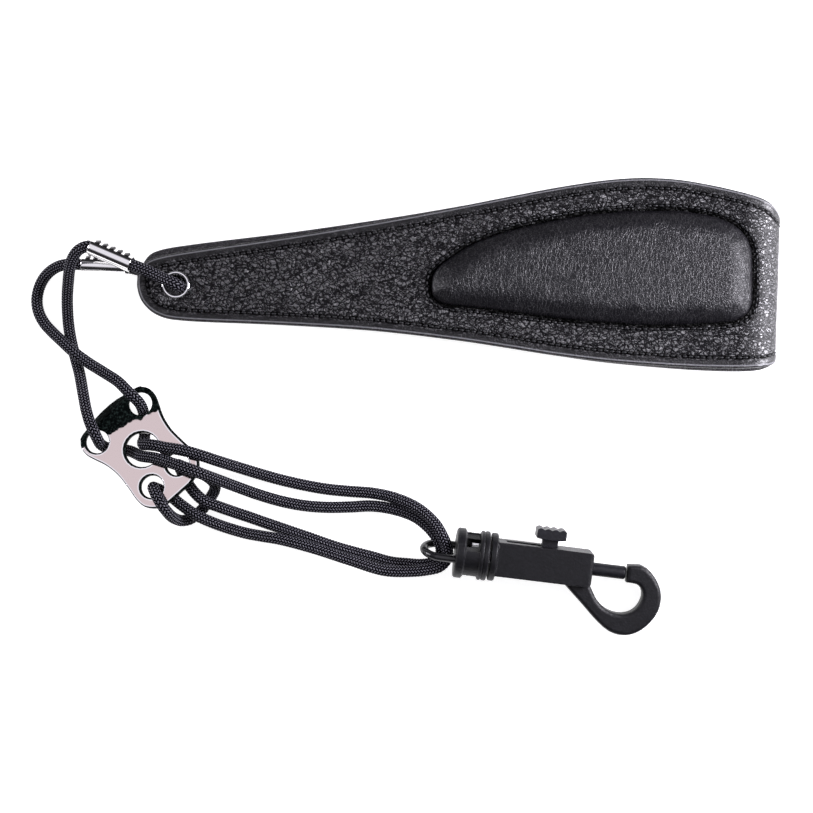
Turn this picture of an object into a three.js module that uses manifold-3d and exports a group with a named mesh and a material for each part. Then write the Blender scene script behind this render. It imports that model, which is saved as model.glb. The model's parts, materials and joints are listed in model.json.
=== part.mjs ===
// Leather saxophone neck strap, lying folded in half, as a scene graph of named solids.
// Millimetres, +Z up from the table. Written for three.js 0.186 and manifold-3d 3.
import * as THREE from "three";
import { mergeVertices } from "three/addons/utils/BufferGeometryUtils.js";
import Module from "manifold-3d";

const wasm = await Module();
wasm.setup();

// ---------------------------------------------------------------- driving dimensions

// Middle of the strap's footprint in the drawing below; the part's origin is moved there.
const FOOTPRINT_MIDDLE = [7.95, -0.2, 0];

// The band: two leather layers with a foam pad between them, folded over an axis
// that lies nearly along Y. Heights are counted from that axis, outwards.
const FOLD = { x: 121.3, y: 42, z: 13.05, skew: -2.4 };
const INNER_FACE = 4.9;
const LEATHER = 1.5;
const GLUE_GAP = 0.4;
const OUTER_FACE = INNER_FACE + 2 * LEATHER + GLUE_GAP;
const PAD_CROWN = 13.05;
const SPLIT_GAP = 0.3;
const BACK_HALF_TURN = -1.2;

// Eyelets, one in each end of the band.
const EYELET = { x: -79.8, y: 41.3, flange: 4.9, bore: 3.6, tube: 4.0, hole: 4.3, sheet: 0.5 };

// Ferrules that clamp two cords stacked one over the other.
const CRIMP = { length: 15.6, width: 5.2, height: 9.4, wall: 0.4 };

// Braided cord.
const CORD_RADIUS = 2.0;
const CORD_SIDES = 8;

// Adjuster plate. s runs down the plate from the line of its two top holes, t across it.
const PLATE = { x: -100.8, y: -5.6, z: 5.2, yaw: -48.2, tilt: -7.5, thickness: 1.6 };
const PLATE_LIP = { s: -4.3, bend: 32 };
const TOP_HOLES = { s: 0, t: 10, r: 4.1 };
const CENTRE_HOLE = { s: 12.9, t: 0, r: 6.15 };
const BOTTOM_HOLES = { s: 25.2, t: 5.9, r: 4.0 };

// Snap hook. x runs along its axis from the face where the cord eye enters, y across, z up.
const HOOK = { x: 16.9, y: -50.9, z: 9.15, yaw: -6.9, pitch: 2.4, roll: 8 };
const EYE = { wire: 1.45, reach: 5.8, straight: 5.15, depth: 2.5, roll: -65, play: 0.1 };
const BARREL = { flange: 8.75, waist: 8.0, cavity: 5.3, faces: [0, 3.2, 8.3, 11.5] };
const WINDOW = { half: 6.1, depth: 4.6, turn: 26 };
const PIN = { shank: 2.4, head: 4.2, faces: [5.2, 7.9, 13.6], play: 0.1 };
const BODY = { collar: 8.4, start: 12.1, box: 14.4, end: 48, half: 6, depth: 6.2, edge: 1.1 };
const ARM = { half: 3.3, edge: 1.2 };
const BOLT = { radius: 2.35, bore: 2.45, tail: 29.4, tip: 60.0, travel: 11.8 };
const THUMB = {
  start: 29.65, end: 35.15, half: 2.0, top: 12.5, neck: 8.6, pad: 5.15, depth: 4.5,
  lift: 0.4, ribs: 4, rib: 0.6,
};
const SLOT_PLAY = { end: 0.3, side: 0.2 };
const SPRING = { start: 15.2, end: 29.1, radius: 1.9, wire: 0.22, turns: 6 };
const BORE_START = 14.9;

// ---------------------------------------------------------------- materials

const finish = (color, roughness, metalness) =>
  new THREE.MeshStandardMaterial({ color, roughness, metalness });
const MATERIALS = {
  leather: finish(0x141416, 0.55, 0),
  backing: finish(0x1b1b1d, 0.7, 0),
  foam: finish(0x3c3c40, 0.95, 0),
  nickel: finish(0xc4c6c9, 0.2, 1),
  blackNickel: finish(0x8a8688, 0.12, 1),
  cord: finish(0x3d3e44, 0.8, 0),
  plastic: finish(0x2a2b2e, 0.45, 0),
  blackWire: finish(0x1a1a1d, 0.2, 0.6),
  steel: finish(0x9fa1a5, 0.3, 1),
};

// ---------------------------------------------------------------- helpers

const radians = THREE.MathUtils.degToRad;
const vectors2 = (points) => points.map(([x, y]) => new THREE.Vector2(x, y));
const vectors3 = (points) => points.map(([x, y, z]) => new THREE.Vector3(x, y, z));

// A closed geometry as a solid for cutting and joining.
function solid(geometry) {
  const bare = new THREE.BufferGeometry();
  const source = geometry.index ? geometry.toNonIndexed() : geometry;
  bare.setAttribute("position", source.getAttribute("position").clone());
  const merged = mergeVertices(bare, 1e-4);
  return new wasm.Manifold(
    new wasm.Mesh({
      numProp: 3,
      vertProperties: new Float32Array(merged.attributes.position.array),
      triVerts: new Uint32Array(merged.index.array),
    }),
  );
}

// The geometry of a solid.
function geometryOf(manifold) {
  const { vertProperties, triVerts } = manifold.getMesh();
  const geometry = new THREE.BufferGeometry();
  geometry.setAttribute("position", new THREE.BufferAttribute(vertProperties, 3));
  geometry.setIndex(new THREE.BufferAttribute(triVerts, 1));
  geometry.computeVertexNormals();
  return geometry;
}

function node(name, geometry, material) {
  const mesh = new THREE.Mesh(geometry, material);
  mesh.name = name;
  return mesh;
}

const box = (x0, x1, y0, y1, z0, z1) =>
  new THREE.BoxGeometry(x1 - x0, y1 - y0, z1 - z0).translate(
    (x0 + x1) / 2,
    (y0 + y1) / 2,
    (z0 + z1) / 2,
  );

// A body of revolution about the X axis, from a profile of [along, radius] points.
function turned(profile, segments = 24) {
  const points = profile.map(([along, radius]) => new THREE.Vector2(radius, along));
  return new THREE.LatheGeometry(points, segments).rotateZ(-Math.PI / 2);
}

// A solid disc or pin about the X axis.
const rod = (x0, x1, radius, segments = 24) =>
  turned([[x0, 0], [x0, radius], [x1, radius], [x1, 0]], segments);

// A round drill along Z.
const drill = (x, y, radius, height, z = 0) =>
  solid(new THREE.CylinderGeometry(radius, radius, height, 24)
    .rotateX(Math.PI / 2)
    .translate(x, y, z));

// A flat shape pushed up from one height to another.
const slab = (shape, z0, z1, curveSegments) =>
  new THREE.ExtrudeGeometry(shape, {
    depth: z1 - z0,
    bevelEnabled: false,
    curveSegments,
  }).translate(0, 0, z0);

// A path whose steps fall on its own points, so that they are close together in the bends.
class RoutePath extends THREE.CatmullRomCurve3 {
  getSpacedPoints() {
    return this.points;
  }

  getTangentAt(u, target) {
    return this.getTangent(u, target);
  }
}

function circleShape(radius, sides) {
  const points = [];
  for (let i = 0; i < sides; i += 1) {
    const angle = (2 * Math.PI * (i + 0.5)) / sides;
    points.push([radius * Math.cos(angle), radius * Math.sin(angle)]);
  }
  return new THREE.Shape(vectors2(points));
}

function tube(points, radius, sides) {
  const path = new RoutePath(vectors3(points));
  return new THREE.ExtrudeGeometry(circleShape(radius, sides), {
    steps: points.length - 1,
    bevelEnabled: false,
    extrudePath: path,
  });
}

const cord = (name, points) =>
  node(name, tube(points, CORD_RADIUS, CORD_SIDES), MATERIALS.cord);

// ---------------------------------------------------------------- the band

// The band's outline, from the bottom corner of the fold, round the free end, to the top corner.
const BAND_OUTLINE = [
  [131, 19], [127.5, 14], [120, 12.5], [103.5, 12.5], [86, 13.4], [68, 14.8],
  [50.6, 17], [33, 19.8], [15.4, 22.4], [-13, 25.6], [-46, 27.6], [-76, 28.9],
  [-86, 30.8], [-91.5, 35.5], [-93.3, 41.7], [-92.2, 47], [-87.5, 50.7], [-73, 53.5],
  [-40, 58.3], [-2.3, 64.7], [33, 71.6], [51, 75.1], [68.5, 77.8], [82, 78.7],
  [95, 78], [108.5, 75.6], [120, 72.7], [127, 69.8], [131, 65.5],
];

// The pad's outline, round from its narrow end.
const PAD_OUTLINE = [
  [7.8, 40], [9.1, 46.2], [15.4, 51.7], [24.2, 57], [37.5, 61.5], [63.8, 66.7],
  [90.4, 68.1], [103.6, 66.7], [113, 63.5], [118.5, 58.5], [120.4, 53], [120.6, 44.4],
  [120.4, 36], [118.7, 31], [113, 27.8], [98.7, 26.8], [77, 26.8], [59.5, 28.1],
  [41.9, 30.2], [24.1, 32.6], [13.6, 33.6], [9.1, 36.1],
];

function bandShape() {
  const [first, ...rest] = vectors2(BAND_OUTLINE);
  return new THREE.Shape().moveTo(first.x, first.y).splineThru(rest).closePath();
}

function padShape() {
  const curve = new THREE.CatmullRomCurve3(
    PAD_OUTLINE.map(([x, y]) => new THREE.Vector3(x, y, 0)),
    true,
  );
  return new THREE.Shape(curve.getPoints(44).slice(0, -1).map((p) => new THREE.Vector2(p.x, p.y)));
}

// A round-shouldered block over the pad's outline, drawn in by inset; its top is at height crown.
function padBlock(inset, crown, foot) {
  const shoulder = 5;
  const rise = 4.4;
  const block = new THREE.ExtrudeGeometry(padShape(), {
    depth: 3.4,
    bevelThickness: rise,
    bevelSize: shoulder - inset,
    bevelOffset: -shoulder,
    bevelSegments: 3,
  }).translate(0, 0, crown - rise - 3.4);
  return solid(block).intersect(solid(box(-200, 200, -200, 200, foot, crown + 1)));
}

// Everything on the band's side of the fold axis (sign -1), or on the other side of it.
function foldSide(sign, turn = 0) {
  const cutter = box(SPLIT_GAP / 2, 400, -150, 150, -60, 60);
  if (sign < 0) cutter.rotateZ(Math.PI);
  cutter.rotateZ(radians(FOLD.skew - turn)).translate(FOLD.x, FOLD.y, 0);
  return solid(cutter);
}

// One half's layer: the outline between two heights, with the eyelet's hole.
function layer(z0, z1, turn) {
  return solid(slab(bandShape(), z0, z1, 3))
    .intersect(foldSide(-1, turn))
    .subtract(drill(EYELET.x, EYELET.y, EYELET.hole, 40));
}

function neckLeather(turn) {
  const low = OUTER_FACE - LEATHER;
  return layer(low, OUTER_FACE, turn)
    .add(padBlock(0, PAD_CROWN, low).intersect(foldSide(-1, turn)))
    .subtract(padBlock(LEATHER, PAD_CROWN - LEATHER, low - 1));
}

const foam = () =>
  padBlock(LEATHER + SPLIT_GAP, PAD_CROWN - LEATHER - SPLIT_GAP, INNER_FACE + LEATHER + SPLIT_GAP);

const backing = (turn) => layer(INNER_FACE, INNER_FACE + LEATHER, turn);

// The half ring that a layer makes where the band folds.
function foldRing(inner, outer) {
  const ring = new THREE.Shape();
  ring.absarc(0, 0, outer, -Math.PI / 2, Math.PI / 2, false);
  ring.absarc(0, 0, inner, Math.PI / 2, -Math.PI / 2, true);
  ring.closePath();
  const bent = new THREE.ExtrudeGeometry(ring, {
    depth: 120,
    bevelEnabled: false,
    curveSegments: 12,
  });
  bent.translate(0, 0, -60).rotateX(Math.PI / 2).rotateZ(radians(FOLD.skew));
  bent.translate(FOLD.x, FOLD.y, 0);
  return solid(bent)
    .intersect(solid(slab(bandShape(), -30, 30, 3)))
    .intersect(foldSide(1));
}

// A rolled eyelet: a flange on the outer face and a tube through both layers.
function eyelet() {
  const seat = OUTER_FACE + 0.1;
  const profile = [
    [INNER_FACE - 0.5, EYELET.bore],
    [seat + EYELET.sheet, EYELET.bore],
    [seat + EYELET.sheet, EYELET.flange - 0.3],
    [seat + EYELET.sheet / 2, EYELET.flange],
    [seat, EYELET.flange - 0.1],
    [seat, EYELET.tube],
    [INNER_FACE - 0.5, EYELET.tube],
    [INNER_FACE - 0.5, EYELET.bore],
  ];
  return turned(profile.reverse()).rotateY(-Math.PI / 2).translate(EYELET.x, EYELET.y, 0);
}

// The washer that the eyelet's tube is set over, on the inner face.
function eyeletWasher() {
  const top = INNER_FACE - 0.1;
  const profile = [
    [top - EYELET.sheet, EYELET.hole],
    [top, EYELET.hole],
    [top, EYELET.flange],
    [top - EYELET.sheet, EYELET.flange],
    [top - EYELET.sheet, EYELET.hole],
  ];
  return turned(profile.reverse()).rotateY(-Math.PI / 2).translate(EYELET.x, EYELET.y, 0);
}

// One half of the band, drawn above the fold axis, to be turned about the fold by turn.
function bandHalf(side, turn) {
  const half = new THREE.Group();
  half.add(node("neck_leather_" + side, geometryOf(neckLeather(turn)), MATERIALS.leather));
  half.add(node("backing_" + side, geometryOf(backing(turn)), MATERIALS.backing));
  half.add(node("pad_" + side, geometryOf(foam()), MATERIALS.foam));
  half.add(node("eyelet_" + side, eyelet(), MATERIALS.nickel));
  half.add(node("eyelet_washer_" + side, eyeletWasher(), MATERIALS.nickel));
  half.position.z = FOLD.z;
  return half;
}

// The back half is the front one mirrored below the fold axis and turned a little about the fold.
function backHalf() {
  const half = bandHalf("back", BACK_HALF_TURN);
  half.scale.z = -1;
  const turn = new THREE.Group();
  turn.rotation.z = radians(BACK_HALF_TURN);
  turn.position.set(FOLD.x, FOLD.y, 0);
  half.position.set(-FOLD.x, -FOLD.y, FOLD.z);
  turn.add(half);
  return turn;
}

function fold() {
  const group = new THREE.Group();
  const outer = foldRing(OUTER_FACE - LEATHER, OUTER_FACE);
  const inner = foldRing(INNER_FACE, INNER_FACE + LEATHER);
  group.add(node("neck_leather_fold", geometryOf(outer), MATERIALS.leather));
  group.add(node("backing_fold", geometryOf(inner), MATERIALS.backing));
  group.position.z = FOLD.z;
  return group;
}

// ---------------------------------------------------------------- crimps

function stadium(width, height) {
  const r = width / 2;
  const straight = height / 2 - r;
  const shape = new THREE.Shape();
  shape.absarc(0, straight, r, 0, Math.PI, false);
  shape.absarc(0, -straight, r, Math.PI, 2 * Math.PI, false);
  shape.closePath();
  return shape;
}

// A flattened tube with its mouth at (x, y, z), running along +X before it is turned.
function crimp(name, x, y, z, yaw) {
  const outside = slab(stadium(CRIMP.width, CRIMP.height), 0, CRIMP.length, 6);
  const wall = 2 * CRIMP.wall;
  const inside = slab(stadium(CRIMP.width - wall, CRIMP.height - wall), -1, CRIMP.length + 1, 6);
  const sleeve = geometryOf(solid(outside).subtract(solid(inside)));
  sleeve.rotateY(Math.PI / 2).rotateX(Math.PI / 2);
  const ferrule = node(name, sleeve, MATERIALS.blackNickel);
  ferrule.position.set(x, y, z);
  ferrule.rotation.z = radians(yaw);
  return ferrule;
}

// ---------------------------------------------------------------- adjuster plate

// Half of the plate's outline in (s, t), t positive, from the top middle to the bottom middle.
const PLATE_HALF = [
  [-7.9, 0], [-7.6, 4.5], [-6.2, 9.5], [-5.2, 13.2], [-2.6, 15.6], [0.8, 16], [4, 15],
  [8.6, 13.2], [14, 12.3], [20, 12.6], [25, 13.1], [29, 12.4], [32.3, 9.2], [33.5, 4.6],
];

function plateShape() {
  const left = PLATE_HALF.slice(1).map(([s, t]) => [s, -t]);
  const shape = new THREE.Shape().moveTo(...PLATE_HALF[0]);
  shape.splineThru(vectors2(PLATE_HALF.slice(1)));
  shape.lineTo(...left[left.length - 1]);
  shape.splineThru(vectors2([...left.slice(0, -1).reverse(), PLATE_HALF[0]]));
  return shape;
}

// The plate is flat, with its top edge bent down to spare the cords that run over it.
function adjusterPlate() {
  const half = PLATE.thickness / 2;
  let flat = solid(slab(plateShape(), -half, half, 4));
  for (const { s, t, r } of [TOP_HOLES, CENTRE_HOLE, BOTTOM_HOLES]) {
    flat = flat.subtract(drill(s, t, r, 9)).subtract(drill(s, -t, r, 9));
  }
  const main = flat.intersect(solid(box(PLATE_LIP.s, 60, -40, 40, -5, 5)));
  const edge = geometryOf(flat.intersect(solid(box(-40, PLATE_LIP.s, -40, 40, -5, 5))));
  edge.translate(-PLATE_LIP.s, 0, 0).rotateY(-radians(PLATE_LIP.bend)).translate(PLATE_LIP.s, 0, 0);
  const plate = node("adjuster_plate", geometryOf(main.add(solid(edge))), MATERIALS.blackNickel);
  plate.position.set(PLATE.x, PLATE.y, PLATE.z);
  plate.rotation.set(0, radians(PLATE.tilt), radians(PLATE.yaw), "ZYX");
  return plate;
}

// ---------------------------------------------------------------- snap hook

// A frame on the hook's axis, turned about it by roll.
function onHookAxis(roll) {
  const frame = new THREE.Group();
  frame.position.set(HOOK.x, HOOK.y, HOOK.z);
  frame.rotation.set(radians(roll), radians(HOOK.pitch), radians(HOOK.yaw), "ZYX");
  return frame;
}

// A U of wire whose legs stand in the barrel's first flange.
function swivelEye() {
  const points = [[EYE.depth, EYE.reach, 0], [0, EYE.reach, 0]];
  const steps = 12;
  for (let i = 0; i <= steps; i += 1) {
    const angle = Math.PI / 2 + (Math.PI * i) / steps;
    const x = -EYE.straight + EYE.reach * Math.cos(angle);
    points.push([x, EYE.reach * Math.sin(angle), 0]);
  }
  points.push([0, -EYE.reach, 0], [EYE.depth, -EYE.reach, 0]);
  return node("swivel_eye", tube(points, EYE.wire, 12), MATERIALS.blackWire);
}

// Two flanges joined by a waist that is open on two sides, over a hollow for the pin's head.
function swivelBarrel() {
  const [face, in1, in2, end] = BARREL.faces;
  const outside = turned([
    [face, 0], [face, BARREL.flange - 0.5], [face + 0.5, BARREL.flange],
    [in1 - 0.4, BARREL.flange], [in1, BARREL.waist], [in2, BARREL.waist],
    [in2 + 0.3, BARREL.flange - 0.1], [end - 0.3, BARREL.flange - 0.1],
    [end, BARREL.flange - 0.4], [end, 0],
  ], 48);
  const hollow = rod(in1 + 0.2, in2 - 0.1, BARREL.cavity);
  const bore = rod(in2 - 0.2, end + 1, PIN.shank + PIN.play);
  let barrel = solid(outside).subtract(solid(hollow)).subtract(solid(bore));
  for (const side of [-1, 1]) {
    const y = [side * WINDOW.depth, side * 2 * BARREL.waist].sort((a, b) => a - b);
    const window = box(in1 + 0.2, in2 - 0.1, ...y, -WINDOW.half, WINDOW.half);
    barrel = barrel.subtract(solid(window.rotateX(radians(WINDOW.turn))));
  }
  const legs = radians(EYE.roll - HOOK.roll);
  for (const side of [-1, 1]) {
    const socket = rod(face - 1, EYE.depth + SPLIT_GAP, EYE.wire + EYE.play, 24);
    const reach = side * EYE.reach;
    barrel = barrel.subtract(
      solid(socket.translate(0, reach * Math.cos(legs), reach * Math.sin(legs))),
    );
  }
  return node("swivel_barrel", geometryOf(barrel), MATERIALS.plastic);
}

function swivelPin() {
  const [head, neck, end] = PIN.faces;
  const profile = [
    [head, 0], [head, PIN.head - 0.4], [head + 0.4, PIN.head], [neck, PIN.head],
    [neck, PIN.shank], [end, PIN.shank], [end, 0],
  ];
  return node("swivel_pin", turned(profile), MATERIALS.steel);
}

// The hook's arm in (x, y): outer edge from the nose round to the body, inner edge back again.
const ARM_OUTER = [
  [60.3, 3.05], [65.2, 3.4], [69.2, 1], [72.2, -3.1], [73.3, -7], [73, -11.4], [70.9, -15.7],
  [67.6, -19.3], [63.8, -21.3], [59.8, -21.6], [55.8, -20.4], [51.2, -17.1], [46.8, -13.1],
  [42.8, -9.6], [38.6, -5.9],
];
const ARM_INNER = [
  [48, -5.6], [49, -7.2], [51, -10.2], [53.6, -12.6], [57, -14], [60.5, -14.2], [63.6, -13],
  [65.6, -10.8], [66.6, -7.8], [66.2, -5.2], [64.3, -3.3], [60.3, -3.05],
];

function armShape() {
  const shape = new THREE.Shape().moveTo(...ARM_OUTER[0]);
  shape.splineThru(vectors2(ARM_OUTER.slice(1)));
  shape.lineTo(38.6, -3).lineTo(47.2, -3).lineTo(...ARM_INNER[0]);
  shape.splineThru(vectors2(ARM_INNER.slice(1)));
  shape.closePath();
  return shape;
}

function hookBody() {
  const arm = new THREE.ExtrudeGeometry(armShape(), {
    depth: 2 * (ARM.half - ARM.edge),
    bevelThickness: ARM.edge,
    bevelSize: ARM.edge,
    bevelOffset: -ARM.edge,
    bevelSegments: 2,
    curveSegments: 2,
  }).translate(0, 0, -(ARM.half - ARM.edge));
  const side = BODY.half - BODY.edge;
  const rise = BODY.depth - BODY.edge;
  const section = new THREE.Shape(vectors2([
    [-side, -rise], [side, -rise], [side, rise], [-side, rise],
  ]));
  const block = new THREE.ExtrudeGeometry(section, {
    depth: BODY.end - BODY.box - 2 * BODY.edge + 1,
    bevelThickness: BODY.edge,
    bevelSize: BODY.edge,
    bevelSegments: 2,
  }).rotateY(Math.PI / 2).rotateX(Math.PI / 2).translate(BODY.box + BODY.edge - 1, 0, 0);
  const collar = turned([
    [BODY.start, 0], [BODY.start, BODY.collar - 0.3], [BODY.start + 0.3, BODY.collar],
    [BODY.box - 0.4, BODY.collar], [BODY.box, BODY.collar - 0.4], [BODY.box, 0],
  ], 48);
  const slot = box(
    THUMB.start - BOLT.travel - SLOT_PLAY.end, THUMB.end + SLOT_PLAY.end, 0, 2 * BODY.half,
    -THUMB.half - SLOT_PLAY.side, THUMB.half + SLOT_PLAY.side,
  );
  const body = solid(block)
    .add(solid(collar))
    .add(solid(arm))
    .subtract(solid(rod(BORE_START, BODY.end + 2, BOLT.bore)))
    .subtract(solid(rod(BODY.start - 1, PIN.faces[2] + SPLIT_GAP, PIN.shank + PIN.play)))
    .subtract(solid(slot));
  return node("hook_body", geometryOf(body), MATERIALS.plastic);
}

const bolt = () =>
  node("bolt", turned([
    [BOLT.tail, 0], [BOLT.tail, BOLT.radius], [BOLT.tip - 0.5, BOLT.radius],
    [BOLT.tip, BOLT.radius - 0.5], [BOLT.tip, 0],
  ]), MATERIALS.plastic);

// The thumb piece: a stem through the slot and a pad with a ribbed top.
function thumbSlide() {
  const middle = (THUMB.start + THUMB.end) / 2;
  const left = middle - THUMB.pad;
  const right = middle + THUMB.pad;
  const points = [
    [THUMB.start, BOLT.radius + SPLIT_GAP], [THUMB.end, BOLT.radius + SPLIT_GAP],
    [THUMB.end, THUMB.neck], [right, THUMB.neck + THUMB.lift],
  ];
  const steps = 4 * THUMB.ribs;
  for (let i = 0; i <= steps; i += 1) {
    const x = right - (2 * THUMB.pad * i) / steps;
    const ripple = THUMB.rib * Math.abs(Math.sin((Math.PI * THUMB.ribs * i) / steps));
    points.push([x, THUMB.top - THUMB.rib + ripple]);
  }
  points.push([left, THUMB.neck + THUMB.lift], [THUMB.start, THUMB.neck]);
  const whole = slab(new THREE.Shape(vectors2(points)), -THUMB.depth, THUMB.depth);
  const besideStem = [
    box(0, 2 * THUMB.end, 0, THUMB.neck, -2 * THUMB.depth, -THUMB.half),
    box(0, 2 * THUMB.end, 0, THUMB.neck, THUMB.half, 2 * THUMB.depth),
  ];
  let piece = solid(whole);
  besideStem.forEach((cut) => {
    piece = piece.subtract(solid(cut));
  });
  return node("thumb_slide", geometryOf(piece), MATERIALS.plastic);
}

function boltSpring() {
  const steps = SPRING.turns * 10;
  const points = [];
  for (let i = 0; i <= steps; i += 1) {
    const angle = (2 * Math.PI * SPRING.turns * i) / steps;
    const x = SPRING.start + SPRING.wire + ((SPRING.end - SPRING.start - 2 * SPRING.wire) * i) / steps;
    points.push([x, SPRING.radius * Math.cos(angle), SPRING.radius * Math.sin(angle)]);
  }
  return node("bolt_spring", tube(points, SPRING.wire, 6), MATERIALS.steel);
}

function snapHook() {
  const eye = onHookAxis(EYE.roll);
  eye.add(swivelEye());
  const rest = onHookAxis(HOOK.roll);
  rest.add(swivelBarrel(), swivelPin(), hookBody(), bolt(), thumbSlide(), boltSpring());
  return [eye, rest];
}

// ---------------------------------------------------------------- cords

// Through the front crimp, over the band's end, down the eyelet and back into the crimp.
const EYELET_CORD_FRONT = [
  [-104.8, 52.5, 21.9], [-100, 50.4, 21.9], [-94.9, 48.2, 21.9], [-92.6, 47.2, 23.3],
  [-88.5, 45.4, 24.2], [-84.3, 43.3, 24.2], [-81.1, 41.9, 24.2], [-79.3, 41.1, 23.5],
  [-78.6, 40.8, 21.8], [-78.6, 40.8, 17.6], [-79.3, 41.1, 15.9], [-81.1, 41.9, 15.2],
  [-86, 44.2, 15.2], [-90.5, 46.3, 15.5], [-92.9, 47.4, 16.1], [-95, 48.3, 17.5],
  [-97, 49.2, 17.7], [-104, 52.2, 17.7],
];

// The same through the back crimp and the back half's eyelet.
const EYELET_CORD_BACK = [
  [-106.1, 49.65, 8.7], [-101.5, 49.45, 8.7], [-97.6, 49.2, 8.9], [-94, 48.5, 10.6],
  [-88, 47.2, 10.95], [-81, 45.8, 10.95], [-79.2, 45.4, 10.25], [-78.5, 45.3, 8.55],
  [-78.5, 45.3, 4.45], [-79.2, 45.4, 2.75], [-81, 45.8, 2.05], [-87, 47, 2.05],
  [-93, 48.3, 2.2], [-97.2, 49.2, 4.2], [-99.4, 49.4, 4.5], [-106, 49.65, 4.5],
];

// From the front crimp down to the plate's left top hole and in behind the plate.
const NECK_CORD_FRONT = [
  [-105.1, 52.6, 21.9], [-109.7, 54.6, 21.9], [-113.2, 53.7, 20.8], [-115.8, 51.2, 18.4],
  [-117.4, 47.6, 15.2], [-118.4, 43.3, 11.4], [-119.2, 38.6, 7.6], [-119.5, 33.8, 4.4],
  [-119.3, 29, 2.5], [-118.6, 24.5, 2.05], [-117.6, 20.3, 2.05], [-116.6, 16.6, 2.05],
  [-115.4, 12.3, 2.4], [-114.4, 8, 3.6], [-113.4, 3.8, 5.6], [-112.2, -1.2, 7.4],
  [-110.8, -5.6, 8.1], [-109.3, -9, 7.9], [-108.3, -11.3, 6.4], [-107.5, -13, 4.1],
  [-105.6, -14.1, 2.5], [-103, -14.5, 2.05], [-100, -14.8, 2.05],
];

// From the back crimp in a wide loop to the plate's right top hole and in behind the plate.
const NECK_CORD_BACK = [
  [-106.4, 49.65, 8.7], [-114.2, 50, 8.7], [-118.5, 50.2, 7.9], [-122.4, 49.7, 6.2],
  [-126, 47.9, 4.2], [-128.6, 45.2, 2.7], [-130.2, 41.6, 2.05], [-130.7, 37.8, 2.05],
  [-130, 33.8, 2.05], [-128, 30, 2.2], [-125, 26.7, 3.2], [-121, 23, 5.2],
  [-116.8, 19.2, 6.3], [-112, 15.7, 5.4], [-106.4, 12.2, 5], [-101.2, 8.8, 6.6],
  [-97.9, 5.6, 7.6], [-95.6, 3.4, 7.6], [-93.9, 1.6, 6.2], [-93, -0.3, 4],
  [-92.5, -2.6, 2.4], [-92.2, -6, 2.05], [-92.2, -8.8, 2.05],
];

// Out of the plate's centre hole, through the eye, and back under the plate to a bottom hole.
const HOOK_CORD_1 = [
  [-92.2, -9.2, 2.05], [-92.3, -10.7, 2.2], [-92.7, -12.4, 3.6], [-92.2, -13.2, 5.8],
  [-90.4, -13.4, 8.3], [-87.6, -13.8, 10.4], [-84.5, -14.5, 11.3], [-80, -15.2, 11.8],
  [-75.7, -16.1, 12.1], [-71, -17.5, 11.4], [-66, -19.1, 9.2], [-60, -20.9, 6.4],
  [-52, -23.3, 4], [-44, -25.5, 2.7], [-36, -27.3, 2.1], [-28, -28.7, 2.05],
  [-20, -29.5, 2.3], [-11.8, -30.2, 3.6], [-4, -32, 6.2], [4, -35.7, 9],
  [9.8, -40.9, 11.2], [12.8, -46, 12], [14.2, -50, 11.3], [13.9, -53.3, 10.2],
  [11.5, -55.9, 9.5], [7.4, -57, 9], [0.5, -57.6, 8], [-7.9, -57.2, 6.9],
  [-19.8, -53.6, 5.6], [-32.1, -49.6, 5], [-44.1, -46.4, 4.6], [-50.5, -45.3, 3.5],
  [-56.4, -44.2, 2.6], [-63, -42.3, 3.2], [-68.5, -40.3, 5.2], [-73.5, -38, 6.3],
  [-78.5, -34.6, 6.1], [-83, -31.1, 5.4], [-86.3, -29.1, 5.2], [-88.1, -28.4, 6.5],
  [-88.3, -28.3, 8.2],
];
const HOOK_CORD_2 = [
  [-99.7, -14.8, 2.05], [-97, -15.4, 2.3], [-94.6, -16.5, 3.8], [-92.9, -17.3, 6.3],
  [-90.8, -17.7, 8.6], [-87.8, -18.2, 10.9], [-84.5, -19.1, 12.8], [-80.3, -20.5, 15],
  [-76, -22.1, 16.7], [-71.5, -23.7, 16.4], [-66, -25.7, 13.2], [-60, -27.9, 9.2],
  [-52, -30.7, 5.4], [-44, -33, 3.2], [-36, -34.5, 2.2], [-28, -35.1, 2.05],
  [-20, -35, 2.2], [-11.8, -34.7, 3], [-4, -36, 4.6], [3, -38.6, 6.4],
  [8.2, -42.8, 7.7], [11, -46.7, 7.9], [12.1, -49.8, 7.3], [11.6, -52.4, 6.3],
  [9.4, -54.4, 5.5], [5.5, -55.2, 5], [0.2, -54.9, 3.9], [-5.5, -54.3, 2.9],
  [-11.7, -52.6, 2.2], [-23.9, -49.3, 2.05], [-35.9, -45.2, 2.05], [-48.2, -41, 2.05],
  [-54.5, -38.8, 2.1], [-60.2, -36.9, 3], [-66, -34.9, 5.6], [-70.6, -33.1, 6.6],
  [-74, -30.2, 6.3], [-76.6, -26.8, 5.5], [-78.6, -23.2, 5.2], [-79.6, -20.8, 6.4],
  [-79.7, -20.4, 8.2],
];

// Out of one bottom hole, over the plate's edge, under both cords and into the other hole.
const HITCH_CORD = [
  [-88.3, -28.3, 9.1], [-88.2, -28.6, 10.5], [-87.4, -30.3, 11.8], [-86.5, -32, 12.6],
  [-85.2, -34.2, 12.8], [-83.7, -36.4, 11.6], [-82.3, -38.2, 8.8], [-80.8, -39.3, 5.4],
  [-78.9, -39.8, 2.8], [-76.3, -39.3, 2.05], [-73.6, -37.5, 2.05], [-71.2, -35.1, 2.05],
  [-69.1, -32, 2.05], [-67.4, -29.2, 3.6], [-67.2, -26.9, 7.2], [-69.4, -24.7, 10.9],
  [-73.1, -22.9, 12.4], [-76.2, -21.8, 12.2], [-78.2, -21, 11.6], [-79.5, -20.5, 10.4],
  [-79.7, -20.4, 9.1],
];

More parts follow.
